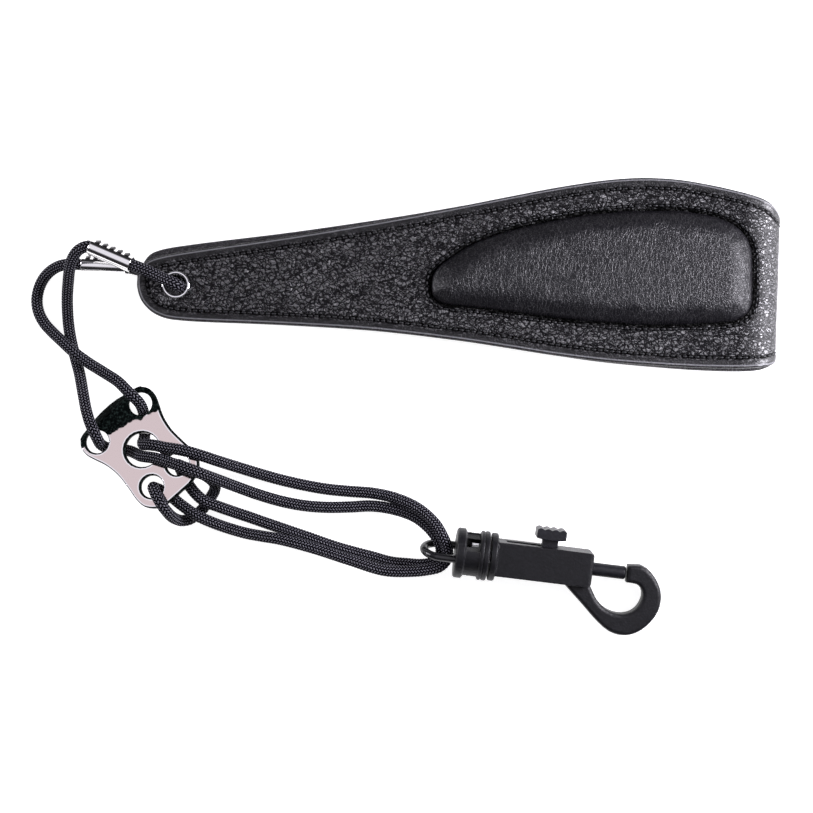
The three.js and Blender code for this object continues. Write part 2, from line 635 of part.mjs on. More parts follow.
function cords() {
  return [
    cord("eyelet_cord_front", EYELET_CORD_FRONT),
    cord("eyelet_cord_back", EYELET_CORD_BACK),
    cord("neck_cord_front", NECK_CORD_FRONT),
    cord("neck_cord_back", NECK_CORD_BACK),
    cord("hook_cord_1", HOOK_CORD_1),
    cord("hook_cord_2", HOOK_CORD_2),
    cord("hitch_cord", HITCH_CORD),
  ];
}

// ---------------------------------------------------------------- the strap

const strap = new THREE.Group();
strap.add(bandHalf("front", 0), backHalf(), fold());
strap.add(crimp("crimp_front", -109.7, 54.6, 19.8, -23.3));
strap.add(crimp("crimp_back", -114.2, 50, 6.6, -2.5));
strap.add(adjusterPlate(), ...snapHook(), ...cords());
strap.position.set(...FOOTPRINT_MIDDLE.map((value) => -value));

export default strap;
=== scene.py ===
"""The looks of a leather saxophone neck strap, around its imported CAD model.

Metres, in the row frame. The frame gives the places and outlines; the cord routes repeat those
of the part's source, in the same drawing coordinates.
"""

import json
import math

import bmesh
import bpy
import numpy as np
from mathutils import Matrix, Vector
from mathutils.kdtree import KDTree


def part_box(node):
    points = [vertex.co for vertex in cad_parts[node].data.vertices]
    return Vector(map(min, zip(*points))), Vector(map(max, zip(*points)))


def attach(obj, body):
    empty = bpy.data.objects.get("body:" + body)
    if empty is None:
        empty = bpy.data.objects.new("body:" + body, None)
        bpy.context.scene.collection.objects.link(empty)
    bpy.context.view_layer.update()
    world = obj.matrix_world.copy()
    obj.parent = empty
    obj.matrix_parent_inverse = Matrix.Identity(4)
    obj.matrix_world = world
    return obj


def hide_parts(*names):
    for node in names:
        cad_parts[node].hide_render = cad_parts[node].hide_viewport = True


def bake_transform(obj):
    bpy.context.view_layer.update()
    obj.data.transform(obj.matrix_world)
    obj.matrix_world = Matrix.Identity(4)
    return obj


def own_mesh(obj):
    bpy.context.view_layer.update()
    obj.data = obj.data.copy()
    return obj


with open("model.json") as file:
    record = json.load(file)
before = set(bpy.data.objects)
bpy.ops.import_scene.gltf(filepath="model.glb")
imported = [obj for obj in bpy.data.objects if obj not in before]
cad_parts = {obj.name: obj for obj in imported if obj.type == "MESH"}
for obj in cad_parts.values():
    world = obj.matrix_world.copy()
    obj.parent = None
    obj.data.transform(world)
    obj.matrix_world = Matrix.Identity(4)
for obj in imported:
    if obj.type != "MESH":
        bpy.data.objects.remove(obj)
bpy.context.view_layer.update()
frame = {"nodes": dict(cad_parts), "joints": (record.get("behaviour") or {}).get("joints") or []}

MM = 0.001
UP = np.array((0.0, 0.0, 1.0))
JOINTS = {joint["name"]: joint for joint in frame["joints"]}
HALF_BODIES = {"front": "front_half", "back": "root"}

# ---- driving sizes

# From the drawing's origin to the row frame's.
DRAWING_SHIFT = np.array((-0.00795, 0.0002, 0.0))

CAMERA_PLACE = (-0.00795, -0.05909, 0.85593)
CAMERA_TARGET = (-0.00795, 0.0002, 0.008)
CAMERA_LENS_MM = 107.5

# Braided cord: strands are counted each way round, and a cell is one crossing's length.
CORD_RADIUS = 2.08 * MM
BRAID_STRANDS = 12
BRAID_CELL = 1.05 * MM
BRAID_RELIEF = 0.2 * MM
CORD_SIDES = 48
CORD_STEP = 0.27 * MM

# The band. Heights are counted from the fold's axis.
AXIS_POINT = np.array(JOINTS["band_open"]["pos_m"])
ALONG = np.array(JOINTS["band_open"]["axis"][:2])
ACROSS = np.array((ALONG[1], -ALONG[0]))
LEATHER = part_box("backing_front")[1].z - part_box("backing_front")[0].z
INNER_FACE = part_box("backing_front")[0].z - AXIS_POINT[2]
OUTER_FACE = (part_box("neck_leather_fold")[1].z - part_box("neck_leather_fold")[0].z) / 2
PAD_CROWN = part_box("neck_leather_front")[1].z - AXIS_POINT[2]
FOLD_RADIUS = 7.5 * MM
FOLD_LENGTH = math.pi * FOLD_RADIUS
COLUMN_STEP = 0.75 * MM
ROWS = 62
ROUND_END = 8 * MM
# The neck leather's relief: slow waves, a roll along its edge, and dips at the border's seam and
# round a pad; inside the pad's seam it sinks further, under the pad.
WAVES = {"height": 0.10 * MM, "size": 9 * MM}
EDGE_ROLL = {"height": 0.16 * MM, "inset": 2.1 * MM, "width": 1.1 * MM}
SEAM_DIP = {"depth": 0.28 * MM, "width": 0.55 * MM}
PAD_DIP = {"depth": 0.45 * MM, "width": 1.1 * MM, "under": 0.55 * MM, "slope": 1.5 * MM}
OUTLINE_STEP = 0.15 * MM
EYELET_HOLE_RADIUS = 4.1 * MM
# Points this close to an eyelet belong to its hole, and points this close to the fold's start to
# the cut between the CAD's halves.
EYELET_CLEARANCE = 6 * MM
CUT_CLEARANCE = 0.5 * MM

# The adjuster plate: the middle between its two top holes, the ways down it, over it and out of its
# face, how far down from the holes a dark reflection is painted on it, more so towards the right one,
# and how wide its painted dark rims are, in millimetres.
PLATE_HOLES = np.array((-0.10875, -0.0054, 0.0052))
PLATE_DOWN = np.array((0.6665, -0.7455, 0.0))
PLATE_OVER = np.array((0.7455, 0.6665, 0.0))
PLATE_UP = np.array((-0.087, 0.0973, 0.9914))
DARK_REFLECTION = {"reach": 1.9 * MM, "slope": 0.3}
RIM_WIDTH = 0.55

# The leather: the two ways that its long creases run, the painted shade deep in them and in its
# seams, and the colour of the painted highlight along its edge.
CREASE_TURNS = (0.55, -0.5)
CREASE_AND_SEAM_SHADE = (0.0005, 0.0005, 0.0005)
EDGE_HIGHLIGHT_COLOR = (0.14, 0.14, 0.148)

# The studio: the sine of the height above the horizon at which its overhead light starts and is
# full, how bright the two are, the colour of all its light, and half its width.
OVERHEAD_EDGE = (0.72, 0.93)
OVERHEAD_GLOW = 0.85
HORIZON_GLOW = 0.025
DAYLIGHT = (0.94, 0.92, 1.0)
STUDIO_REACH = 6.0
# name: (place, target, size, power)
LAMPS = {
    "right": ((0.38, 0.05, 0.24), (0.11, 0.035, 0.015), (0.2, 0.2), 4.5),
    "left": ((-0.8, 0.2, 0.3), (-0.05, 0.02, 0), (0.3, 0.25), 5),
}

# Stitching.
STITCH_INSET = 3.6 * MM
PAD_STITCH_OFFSET = 0.75 * MM
STITCH_PITCH = 2.1 * MM
STITCH_LENGTH = 1.75 * MM
THREAD = 0.3 * MM
SEAM_STEP = 0.1 * MM

# ---- cord routes

EYELET_CORD_FRONT = [
    (-0.1048, 0.0525, 0.0219), (-0.1, 0.0504, 0.0219), (-0.0949, 0.0482, 0.0219),
    (-0.0926, 0.0472, 0.0233), (-0.0885, 0.0454, 0.0242), (-0.0843, 0.0433, 0.0242),
    (-0.0811, 0.0419, 0.0242), (-0.0793, 0.0411, 0.0235), (-0.0786, 0.0408, 0.0218),
    (-0.0786, 0.0408, 0.0176), (-0.0793, 0.0411, 0.0159), (-0.0811, 0.0419, 0.0152),
    (-0.086, 0.0442, 0.0152), (-0.0905, 0.0463, 0.0155), (-0.0929, 0.0474, 0.0161),
    (-0.095, 0.0483, 0.0175), (-0.097, 0.0492, 0.0177), (-0.104, 0.0522, 0.0177),
]
EYELET_CORD_BACK = [
    (-0.1061, 0.04965, 0.0087), (-0.1015, 0.04945, 0.0087), (-0.0976, 0.0492, 0.0089),
    (-0.094, 0.0485, 0.0106), (-0.088, 0.0472, 0.01095), (-0.081, 0.0458, 0.01095),
    (-0.0792, 0.0454, 0.01025), (-0.0785, 0.0453, 0.00855), (-0.0785, 0.0453, 0.00445),
    (-0.0792, 0.0454, 0.00275), (-0.081, 0.0458, 0.00205), (-0.087, 0.047, 0.00205),
    (-0.093, 0.0483, 0.0022), (-0.0972, 0.0492, 0.0042), (-0.0994, 0.0494, 0.0045),
    (-0.106, 0.04965, 0.0045),
]
NECK_CORD_FRONT = [
    (-0.1051, 0.0526, 0.0219), (-0.1097, 0.0546, 0.0219), (-0.1132, 0.0537, 0.0208),
    (-0.1158, 0.0512, 0.0184), (-0.1174, 0.0476, 0.0152), (-0.1184, 0.0433, 0.0114),
    (-0.1192, 0.0386, 0.0076), (-0.1195, 0.0338, 0.0044), (-0.1193, 0.029, 0.0025),
    (-0.1186, 0.0245, 0.00205), (-0.1176, 0.0203, 0.00205), (-0.1166, 0.0166, 0.00205),
    (-0.1154, 0.0123, 0.0024), (-0.1144, 0.008, 0.0036), (-0.1134, 0.0038, 0.0056),
    (-0.1122, -0.0012, 0.0074), (-0.1108, -0.0056, 0.0081), (-0.1093, -0.009, 0.0079),
    (-0.1083, -0.0113, 0.0064), (-0.1075, -0.013, 0.0041), (-0.1056, -0.0141, 0.0025),
    (-0.103, -0.0145, 0.00205), (-0.1, -0.0148, 0.00205),
]
NECK_CORD_BACK = [
    (-0.1064, 0.04965, 0.0087), (-0.1142, 0.05, 0.0087), (-0.1185, 0.0502, 0.0079),
    (-0.1224, 0.0497, 0.0062), (-0.126, 0.0479, 0.0042), (-0.1286, 0.0452, 0.0027),
    (-0.1302, 0.0416, 0.00205), (-0.1307, 0.0378, 0.00205), (-0.13, 0.0338, 0.00205),
    (-0.128, 0.03, 0.0022), (-0.125, 0.0267, 0.0032), (-0.121, 0.023, 0.0052), (-0.1168, 0.0192, 0.0063),
    (-0.112, 0.0157, 0.0054), (-0.1064, 0.0122, 0.005), (-0.1012, 0.0088, 0.0066),
    (-0.0979, 0.0056, 0.0076), (-0.0956, 0.0034, 0.0076), (-0.0939, 0.0016, 0.0062),
    (-0.093, -0.0003, 0.004), (-0.0925, -0.0026, 0.0024), (-0.0922, -0.006, 0.00205),
    (-0.0922, -0.0088, 0.00205),
]
HOOK_CORD_1 = [
    (-0.0922, -0.0092, 0.00205), (-0.0923, -0.0107, 0.0022), (-0.0927, -0.0124, 0.0036),
    (-0.0922, -0.0132, 0.0058), (-0.0904, -0.0134, 0.0083), (-0.0876, -0.0138, 0.0104),
    (-0.0845, -0.0145, 0.0113), (-0.08, -0.0152, 0.0118), (-0.0757, -0.0161, 0.0121),
    (-0.071, -0.0175, 0.0114), (-0.066, -0.0191, 0.0092), (-0.06, -0.0209, 0.0064),
    (-0.052, -0.0233, 0.004), (-0.044, -0.0255, 0.0027), (-0.036, -0.0273, 0.0021),
    (-0.028, -0.0287, 0.00205), (-0.02, -0.0295, 0.0023), (-0.0118, -0.0302, 0.0036),
    (-0.004, -0.032, 0.0062), (0.004, -0.0357, 0.009), (0.0098, -0.0409, 0.0112),
    (0.0128, -0.046, 0.012), (0.0142, -0.05, 0.0113), (0.0139, -0.0533, 0.0102),
    (0.0115, -0.0559, 0.0095), (0.0074, -0.057, 0.009), (0.0005, -0.0576, 0.008),
    (-0.0079, -0.0572, 0.0069), (-0.0198, -0.0536, 0.0056), (-0.0321, -0.0496, 0.005),
    (-0.0441, -0.0464, 0.0046), (-0.0505, -0.0453, 0.0035), (-0.0564, -0.0442, 0.0026),
    (-0.063, -0.0423, 0.0032), (-0.0685, -0.0403, 0.0052), (-0.0735, -0.038, 0.0063),
    (-0.0785, -0.0346, 0.0061), (-0.083, -0.0311, 0.0054), (-0.0863, -0.0291, 0.0052),
    (-0.0881, -0.0284, 0.0065), (-0.0883, -0.0283, 0.0082),
]
HOOK_CORD_2 = [
    (-0.0997, -0.0148, 0.00205), (-0.097, -0.0154, 0.0023), (-0.0946, -0.0165, 0.0038),
    (-0.0929, -0.0173, 0.0063), (-0.0908, -0.0177, 0.0086), (-0.0878, -0.0182, 0.0109),
    (-0.0845, -0.0191, 0.0128), (-0.0803, -0.0205, 0.015), (-0.076, -0.0221, 0.0167),
    (-0.0715, -0.0237, 0.0164), (-0.066, -0.0257, 0.0132), (-0.06, -0.0279, 0.0092),
    (-0.052, -0.0307, 0.0054), (-0.044, -0.033, 0.0032), (-0.036, -0.0345, 0.0022),
    (-0.028, -0.0351, 0.00205), (-0.02, -0.035, 0.0022), (-0.0118, -0.0347, 0.003),
    (-0.004, -0.036, 0.0046), (0.003, -0.0386, 0.0064), (0.0082, -0.0428, 0.0077),
    (0.011, -0.0467, 0.0079), (0.0121, -0.0498, 0.0073), (0.0116, -0.0524, 0.0063),
    (0.0094, -0.0544, 0.0055), (0.0055, -0.0552, 0.005), (0.0002, -0.0549, 0.0039),
    (-0.0055, -0.0543, 0.0029), (-0.0117, -0.0526, 0.0022), (-0.0239, -0.0493, 0.00205),
    (-0.0359, -0.0452, 0.00205), (-0.0482, -0.041, 0.00205), (-0.0545, -0.0388, 0.0021),
    (-0.0602, -0.0369, 0.003), (-0.066, -0.0349, 0.0056), (-0.0706, -0.0331, 0.0066),
    (-0.074, -0.0302, 0.0063), (-0.0766, -0.0268, 0.0055), (-0.0786, -0.0232, 0.0052),
    (-0.0796, -0.0208, 0.0064), (-0.0797, -0.0204, 0.0082),
]
HITCH_CORD = [
    (-0.0883, -0.0283, 0.0091), (-0.0882, -0.0286, 0.0105), (-0.0874, -0.0303, 0.0118),
    (-0.0865, -0.032, 0.0126), (-0.0852, -0.0342, 0.0128), (-0.0837, -0.0364, 0.0116),
    (-0.0823, -0.0382, 0.0088), (-0.0808, -0.0393, 0.0054), (-0.0789, -0.0398, 0.0028),
    (-0.0763, -0.0393, 0.00205), (-0.0736, -0.0375, 0.00205), (-0.0712, -0.0351, 0.00205),
    (-0.0691, -0.032, 0.00205), (-0.0674, -0.0292, 0.0036), (-0.0672, -0.0269, 0.0072),
    (-0.0694, -0.0247, 0.0109), (-0.0731, -0.0229, 0.0124), (-0.0762, -0.0218, 0.0122),
    (-0.0782, -0.021, 0.0116), (-0.0795, -0.0205, 0.0104), (-0.0797, -0.0204, 0.0091),
]

# ---- camera


def link(piece):
    bpy.context.scene.collection.objects.link(piece)


def look(place, target):
    """The rotation of a camera or lamp at a place that faces the target."""
    view = Vector(target) - Vector(place)
    return view.to_track_quat("-Z", "Y").to_euler()


def make_camera():
    camera = bpy.data.objects.new("camera", bpy.data.cameras.new("camera"))
    link(camera)
    camera.data.lens = CAMERA_LENS_MM
    camera.location = CAMERA_PLACE
    camera.rotation_euler = look(CAMERA_PLACE, CAMERA_TARGET)
    bpy.context.scene.camera = camera


# ---- material helpers


class Value:
    """A node socket or a number in a sum; each operation adds a Math node to the tree."""

    def __init__(self, tree, socket):
        self.tree = tree
        self.socket = socket

    def math(self, operation, *others):
        node = self.tree.nodes.new("ShaderNodeMath")
        node.operation = operation
        self.tree.links.new(self.socket, node.inputs[0])
        for place, other in enumerate(others, 1):
            if isinstance(other, Value):
                self.tree.links.new(other.socket, node.inputs[place])
            else:
                node.inputs[place].default_value = other
        return Value(self.tree, node.outputs[0])

    def __add__(self, other):
        return self.math("ADD", other)

    def __sub__(self, other):
        return self.math("SUBTRACT", other)

    def __mul__(self, other):
        return self.math("MULTIPLY", other)

    def floor(self):
        return self.math("FLOOR")

    def step(self, low, high):
        """0 below low and 1 above high, smooth between them."""
        node = self.tree.nodes.new("ShaderNodeMapRange")
        node.interpolation_type = "SMOOTHSTEP"
        self.tree.links.new(self.socket, node.inputs["Value"])
        node.inputs["From Min"].default_value = low
        node.inputs["From Max"].default_value = high
        return Value(self.tree, node.outputs["Result"])


class Finish:
    """A material with one Principled shader, and short ways to add what feeds it."""

    def __init__(self, name, color=(0.0, 0.0, 0.0), roughness=0.5, metallic=0.0, **inputs):
        self.material = bpy.data.materials.new(name)
        self.material.use_nodes = True
        self.tree = self.material.node_tree
        self.shader = self.tree.nodes["Principled BSDF"]
        self.set("Base Color", (*color, 1.0))
        self.set("Roughness", roughness)
        self.set("Metallic", metallic)
        for key, value in inputs.items():
            self.set(key.replace("_", " "), value)

    def set(self, key, value):
        if isinstance(value, Value):
            self.tree.links.new(value.socket, self.shader.inputs[key])
        else:
            self.shader.inputs[key].default_value = value

    def node(self, kind, output, inputs, **settings):
        made = self.tree.nodes.new("ShaderNode" + kind)
        for key, value in settings.items():
            setattr(made, key, value)
        for key, value in inputs.items():
            if isinstance(value, Value):
                self.tree.links.new(value.socket, made.inputs[key])
            else:
                made.inputs[key].default_value = value
        return Value(self.tree, made.outputs[output])

    def object_place(self):
        return self.node("TexCoord", "Object", {})

    def flat_place(self):
        """Millimetres on the piece as it was before it was bent, from its UV map."""
        return self.node("TexCoord", "UV", {})

    def attribute(self, name):
        return self.node("Attribute", "Fac", {}, attribute_name=name)

    def part(self, place, axis):
        return self.node("SeparateXYZ", axis, {"Vector": place})

    def scaled(self, place, factors):
        inputs = {"Vector": place, "Scale": factors}
        return self.node("Mapping", "Vector", inputs)

    def noise(self, place, scale, detail=3.0):
        inputs = {"Vector": place, "Scale": scale, "Detail": detail}
        return self.node("TexNoise", "Fac", inputs)

    def warped(self, place, scale, amount):
        """The place pushed about by noise, so that a pattern on it isn't straight."""
        inputs = {"Vector": place, "Scale": scale, "Detail": 2.0}
        push = self.node("TexNoise", "Color", inputs)
        moved = self.tree.nodes.new("ShaderNodeVectorMath")
        moved.operation = "MULTIPLY_ADD"
        self.tree.links.new(push.socket, moved.inputs[0])
        moved.inputs[1].default_value = (amount,) * 3
        self.tree.links.new(place.socket, moved.inputs[2])
        return Value(self.tree, moved.outputs[0])

    def cells(self, place, scale, feature="DISTANCE_TO_EDGE"):
        inputs = {"Vector": place, "Scale": scale}
        return self.node("TexVoronoi", "Distance", inputs, feature=feature)

    def creases(self, place, turn):
        """Long creases that run at a turn to the band: 0 in them, 1 between them."""
        inputs = {"Vector": place, "Rotation": (0, 0, turn)}
        turned = self.scaled(self.node("Mapping", "Vector", inputs), (0.09, 0.27, 1.0))
        return self.cells(turned, 1.0).step(0.0, 0.05)

    def along(self, place, start, axis):
        """How far the place is from start, along a unit axis."""
        inputs = {0: place, 1: tuple(axis)}
        dot = self.node("VectorMath", "Value", inputs, operation="DOT_PRODUCT")
        return dot - float(np.dot(start, axis))

    def mix_color(self, factor, low, high):
        """From low to high, each a colour or a Value."""
        made = self.tree.nodes.new("ShaderNodeMix")
        made.data_type = "RGBA"
        self.tree.links.new(factor.socket, made.inputs["Factor"])
        for place, color in ((6, low), (7, high)):
            if isinstance(color, Value):
                self.tree.links.new(color.socket, made.inputs[place])
            else:
                made.inputs[place].default_value = (*color, 1.0)
        return Value(self.tree, made.outputs[2])

    def bump(self, height, distance, strength=1.0):
        inputs = {"Height": height, "Distance": distance, "Strength": strength}
        self.set("Normal", self.node("Bump", "Normal", inputs))


# ---- materials


def leather_finish():
    """Black grained leather: pebbles and crossing creases, with painted shade deep in the creases and
    along the seams, and a painted highlight along its edge.
    """
    made = Finish("leather")
    flat = made.flat_place()
    warped = made.warped(flat, 0.45, 2.0)
    large = made.cells(made.scaled(warped, (0.58, 0.78, 1.0)), 1.0).step(0.0, 0.2)
    small = made.cells(warped, 2.1).step(0.0, 0.35)
    creases = [made.creases(warped, turn) for turn in CREASE_TURNS]
    edge = made.attribute("rim_mm")
    rim = edge.step(1.8, 3.4)
    past = made.part(flat, "X")
    bend = past.step(-6.0, 1.0) * (past * -1.0).step(-1.0 - FOLD_LENGTH / MM, 6.0 - FOLD_LENGTH / MM)
    pebbles = (large * 0.58 + small * 0.26) * creases[0] * creases[1]
    height = pebbles * (rim * 0.6 + 0.4) + made.noise(flat, 2.4) * 0.24
    made.bump(height * (bend * -0.5 + 1.0), 0.46 * MM)
    # Painted shade: the leather goes nearly black in the grooves of the border's seam and round the
    # pads.
    border = (edge - STITCH_INSET / MM).math("ABSOLUTE").step(0.35, 0.95)
    pad = (made.attribute("pad_mm") - PAD_STITCH_OFFSET / MM).math("ABSOLUTE").step(0.3, 0.9)
    clear = border * pad
    # Painted highlight: a pale line along the edge, 0.8 mm in from it.
    edge_highlight = (edge - 0.8).math("ABSOLUTE").step(0.1, 0.35)
    # Painted shade: the grain's colour goes nearly black in its low parts, deep in the creases.
    grain = made.mix_color(height, CREASE_AND_SEAM_SHADE, (0.024, 0.023, 0.027))
    seam_shaded = made.mix_color(clear, CREASE_AND_SEAM_SHADE, grain)
    made.set("Base Color", made.mix_color(edge_highlight, EDGE_HIGHLIGHT_COLOR, seam_shaded))
    shine = (height.step(0.24, 0.8) * 1.2 + 0.05) * rim + (rim * -0.3 + 0.3) + bend * 0.4
    made.set("Specular IOR Level", shine * (clear * 0.85 + 0.15))
    slow = made.noise(flat, 0.06) * 0.14
    made.set("Roughness", (height * -0.16 + slow + 0.42) * (rim * 0.2 + 0.8))
    return made.material


def pad_finish():
    """Soft leather stretched over the pads, in fine raised wrinkles that run across the band."""
    made = Finish("pad_leather")
    flat = made.flat_place()
    across = made.scaled(made.warped(flat, 0.35, 2.4), (0.8, 0.3, 1.0))
    wrinkles = made.cells(across, 1.0).step(0.0, 0.12) * -1.0 + 1.0
    grain = made.cells(made.warped(flat, 0.8, 0.8), 1.4).step(0.0, 0.35)
    faint = made.noise(flat, 0.12).step(0.1, 0.7)
    height = wrinkles * faint * 0.42 + grain * 0.34 + made.noise(flat, 2.0) * 0.2
    made.bump(height, 0.17 * MM)
    # Painted shade: the colour goes nearly black in the low parts between the wrinkles and the grain.
    made.set("Base Color", made.mix_color(height, (0.002, 0.002, 0.003), (0.013, 0.012, 0.015)))
    made.set("Specular IOR Level", height.step(0.05, 0.75) * 0.5 + 0.22)
    made.set("Roughness", made.noise(flat, 0.06) * 0.14 + height * -0.1 + 0.38)
    return made.material


def backing_finish():
    made = Finish("backing", roughness=0.45)
    flat = made.flat_place()
    height = made.cells(made.warped(flat, 0.8, 1.2), 1.0).step(0.0, 0.3) + made.noise(flat, 3.0) * 0.4
    made.bump(height, 0.22 * MM)
    # Painted shade: the colour goes nearly black in the low parts of the grain.
    made.set("Base Color", made.mix_color(height, (0.002, 0.002, 0.002), (0.03, 0.028, 0.034)))
    return made.material


def cord_finish():
    """Braided nylon: each strand floats over two others, so the floats lie in chevrons."""
    made = Finish("cord", roughness=0.48)
    length, turn = (made.part(made.flat_place(), axis) for axis in "XY")
    round_it = turn * BRAID_STRANDS
    along = length * (MM / BRAID_CELL)
    a = round_it + along
    b = round_it - along
    cell_a = a.floor()
    cell_b = b.floor()
    part_a = a - cell_a
    part_b = b - cell_b
    phase = (cell_a + cell_b).math("FLOORED_MODULO", 4.0)
    upper = phase.math("LESS_THAN", 1.5)
    lower = upper * -1.0 + 1.0
    ridge = ((part_a * upper + part_b * lower) * math.pi).math("SINE")
    reach = ((part_b + phase) * upper + (part_a + phase - 2.0) * lower) * (math.pi / 2)
    yarns = ((part_a * upper + part_b * lower) * (6 * math.pi)).math("SINE") * 0.07
    height = ridge * (reach.math("SINE") * 0.65 + 0.35) + yarns
    made.bump(height, BRAID_RELIEF)
    floats = height.step(0.5, 1.0)
    # Painted shade: the gaps between the floats are painted nearly black.
    made.set("Base Color", made.mix_color(floats, (0.001, 0.001, 0.002), (0.15, 0.147, 0.175)))
    made.set("Specular IOR Level", floats * 0.5)
    return made.material


def thread_finish():
    made = Finish("thread", (0.01, 0.01, 0.012), 0.35)
    made.bump(made.noise(made.object_place(), 2500), 0.05 * MM)
    return made.material


def plated(name, color, roughness, streak=0.0):
    """The Finish of plated metal, with a faint change of tone and fine polishing marks."""
    made = Finish(name, color, metallic=1.0)
    place = made.object_place()
    marks = made.noise(made.scaled(place, (900, 120, 900)), 1.0)
    made.set("Roughness", made.noise(place, 160) * 0.08 + marks * streak + roughness)
    made.bump(marks, 0.004 * MM, 0.3)
    return made


def plate_finish():
    """Polished metal with painted dark reflections on its rims and over its top end, to a ragged border,
    and a painted highlight inside the rims.
    """
    bright = (0.78, 0.66, 0.635)
    made = plated("black_nickel", bright, 0.06)
    place = made.object_place()
    down, over = (made.along(place, PLATE_HOLES, axis) for axis in (PLATE_DOWN, PLATE_OVER))
    # Painted dark reflection over the top end, down to a ragged border.
    ragged = made.noise(place, 300, 6.0) * (5.0 * MM)
    inside = over * DARK_REFLECTION["slope"] - down + ragged + (DARK_REFLECTION["reach"] - 2.5 * MM)
    rim = made.attribute("rim_mm")
    # Painted dark reflection: the rims along the edges and holes are dark too.
    black = inside.step(-0.2 * MM, 0.2 * MM).math("MAXIMUM", (rim * -1.0).step(-0.06, 0.06))
    # Painted highlight: a near-white band just inside the dark rims.
    metal = made.mix_color(rim.step(0.25, 0.5), (1.0, 0.98, 0.98), bright)
    # The painted dark is mottled.
    mottle = made.noise(place, 1300, 4.0).step(0.45, 0.75)
    dark = made.mix_color(mottle, (0.003, 0.004, 0.004), (0.03, 0.045, 0.04))
    made.set("Base Color", made.mix_color(black, metal, dark))
    made.set("Roughness", black * 0.35 + 0.06)
    return made.material


def plastic_finish(name, color, roughness, grain, gloss=0.24):
    """Moulded plastic with a spark-eroded grain."""
    made = Finish(name, Specular_IOR_Level=gloss)
    place = made.object_place()
    height = made.noise(place, 1500, 4.0)
    made.bump(height, grain)
    made.set("Roughness", made.noise(place, 300) * 0.16 + height * 0.1 + (roughness - 0.1))
    tint = made.noise(place, 900, 5.0).step(0.35, 0.75)
    made.set("Base Color", made.mix_color(tint, color, tuple(1.7 * c for c in color)))
    return made.material


def make_materials():
    return {
        "leather": leather_finish(),
        "pad_leather": pad_finish(),
        "backing": backing_finish(),
        "cord": cord_finish(),
        "thread": thread_finish(),
        "nickel": plated("nickel", (0.9, 0.9, 0.91), 0.06).material,
        "crimp_metal": plated("crimp_metal", (0.95, 0.94, 0.94), 0.06, 0.05).material,
        # The teeth are the crimp's own metal painted dark: painted shade.
        "tooth_metal": plated("tooth_metal", (0.05, 0.048, 0.05), 0.22).material,
        "black_nickel": plate_finish(),
        "steel": plated("steel", (0.5, 0.5, 0.52), 0.25, 0.1).material,
        "hook_plastic": plastic_finish("hook_plastic", (0.004, 0.004, 0.005), 0.4, 0.12 * MM),
        "bolt_plastic": plastic_finish("bolt_plastic", (0.007, 0.007, 0.009), 0.38, 0.08 * MM),
        "black_wire": plastic_finish("black_wire", (0.006, 0.006, 0.007), 0.2, 0.004 * MM, 0.5),
    }


# ---- mesh helpers


def add_object(name, mesh, material):
    made = bpy.data.objects.new(name, mesh)
    link(made)
    mesh.materials.clear()
    mesh.materials.append(material)
    mesh.polygons.foreach_set("use_smooth", np.ones(len(mesh.polygons), bool))
    return made


def mesh_of(name, points, faces):
    mesh = bpy.data.meshes.new(name)
    mesh.from_pydata(np.asarray(points).tolist(), [], faces)
    mesh.update()
    return mesh


def freed_mesh(name, bm):
    """The bmesh as a mesh."""
    mesh = bpy.data.meshes.new(name)
    bm.to_mesh(mesh)
    bm.free()
    return mesh


def corner_points(mesh):
    """The point that each face corner is at."""
    corners = np.zeros(len(mesh.loops), np.int32)
    mesh.loops.foreach_get("vertex_index", corners)
    return corners


def write_corner_uv(mesh, uv):
    mesh.uv_layers.new(name="UVMap").data.foreach_set("uv", uv.astype(np.float32).ravel())


def write_uv(mesh, per_point):
    write_corner_uv(mesh, per_point[corner_points(mesh)])


def write_float(mesh, name, per_point):
    attribute = mesh.attributes.new(name, "FLOAT", "POINT")
    attribute.data.foreach_set("value", np.asarray(per_point).astype(np.float32))


def points_of(mesh):
    points = np.zeros(3 * len(mesh.vertices), np.float32)
    mesh.vertices.foreach_get("co", points)
    return points.reshape(-1, 3).astype(float)


def node_points(node):
    return points_of(frame["nodes"][node].data)


def settle(piece, body, node):
    """The piece rides the body in place of the CAD node."""
    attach(piece, body)
    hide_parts(node)


def apply_modifiers(piece):
    graph = bpy.context.evaluated_depsgraph_get()
    mesh = bpy.data.meshes.new_from_object(piece.evaluated_get(graph))
    piece.modifiers.clear()
    piece.data = mesh


def norms(vectors):
    return np.linalg.norm(vectors, axis=1)


def lengths_along(line):
    """How far along a line each of its points is."""
    return np.concatenate([[0], np.cumsum(norms(np.diff(line, axis=0)))])


def even_line(line, parts):
    """The line again, as points that split it into equal parts."""
    along = lengths_along(line)
    at = np.linspace(0, along[-1], parts + 1)
    return np.stack([np.interp(at, along, column) for column in line.T], axis=1)


def closed_curve(points, step):
    """A smooth closed line through the points, as points about step apart."""
    rows = []
    count = len(points)
    for i in range(count):
        p0, p1, p2, p3 = (points[(i + k) % count] for k in (-1, 0, 1, 2))
        parts = max(2, math.ceil(np.linalg.norm(p2 - p1) / step))
        t = (np.arange(parts) / parts)[:, None]
        spread = 2 * p1 + (p2 - p0) * t + (2 * p0 - 5 * p1 + 4 * p2 - p3) * t**2
        rows.append(0.5 * (spread + (3 * p1 - p0 - 3 * p2 + p3) * t**3))
    return even_closed(np.concatenate(rows), step)


def even_closed(line, step):
    """The closed line again, with points an even step apart."""
    ring = np.vstack([line, line[:1]])
    return even_line(ring, max(8, round(lengths_along(ring)[-1] / step)))[:-1]


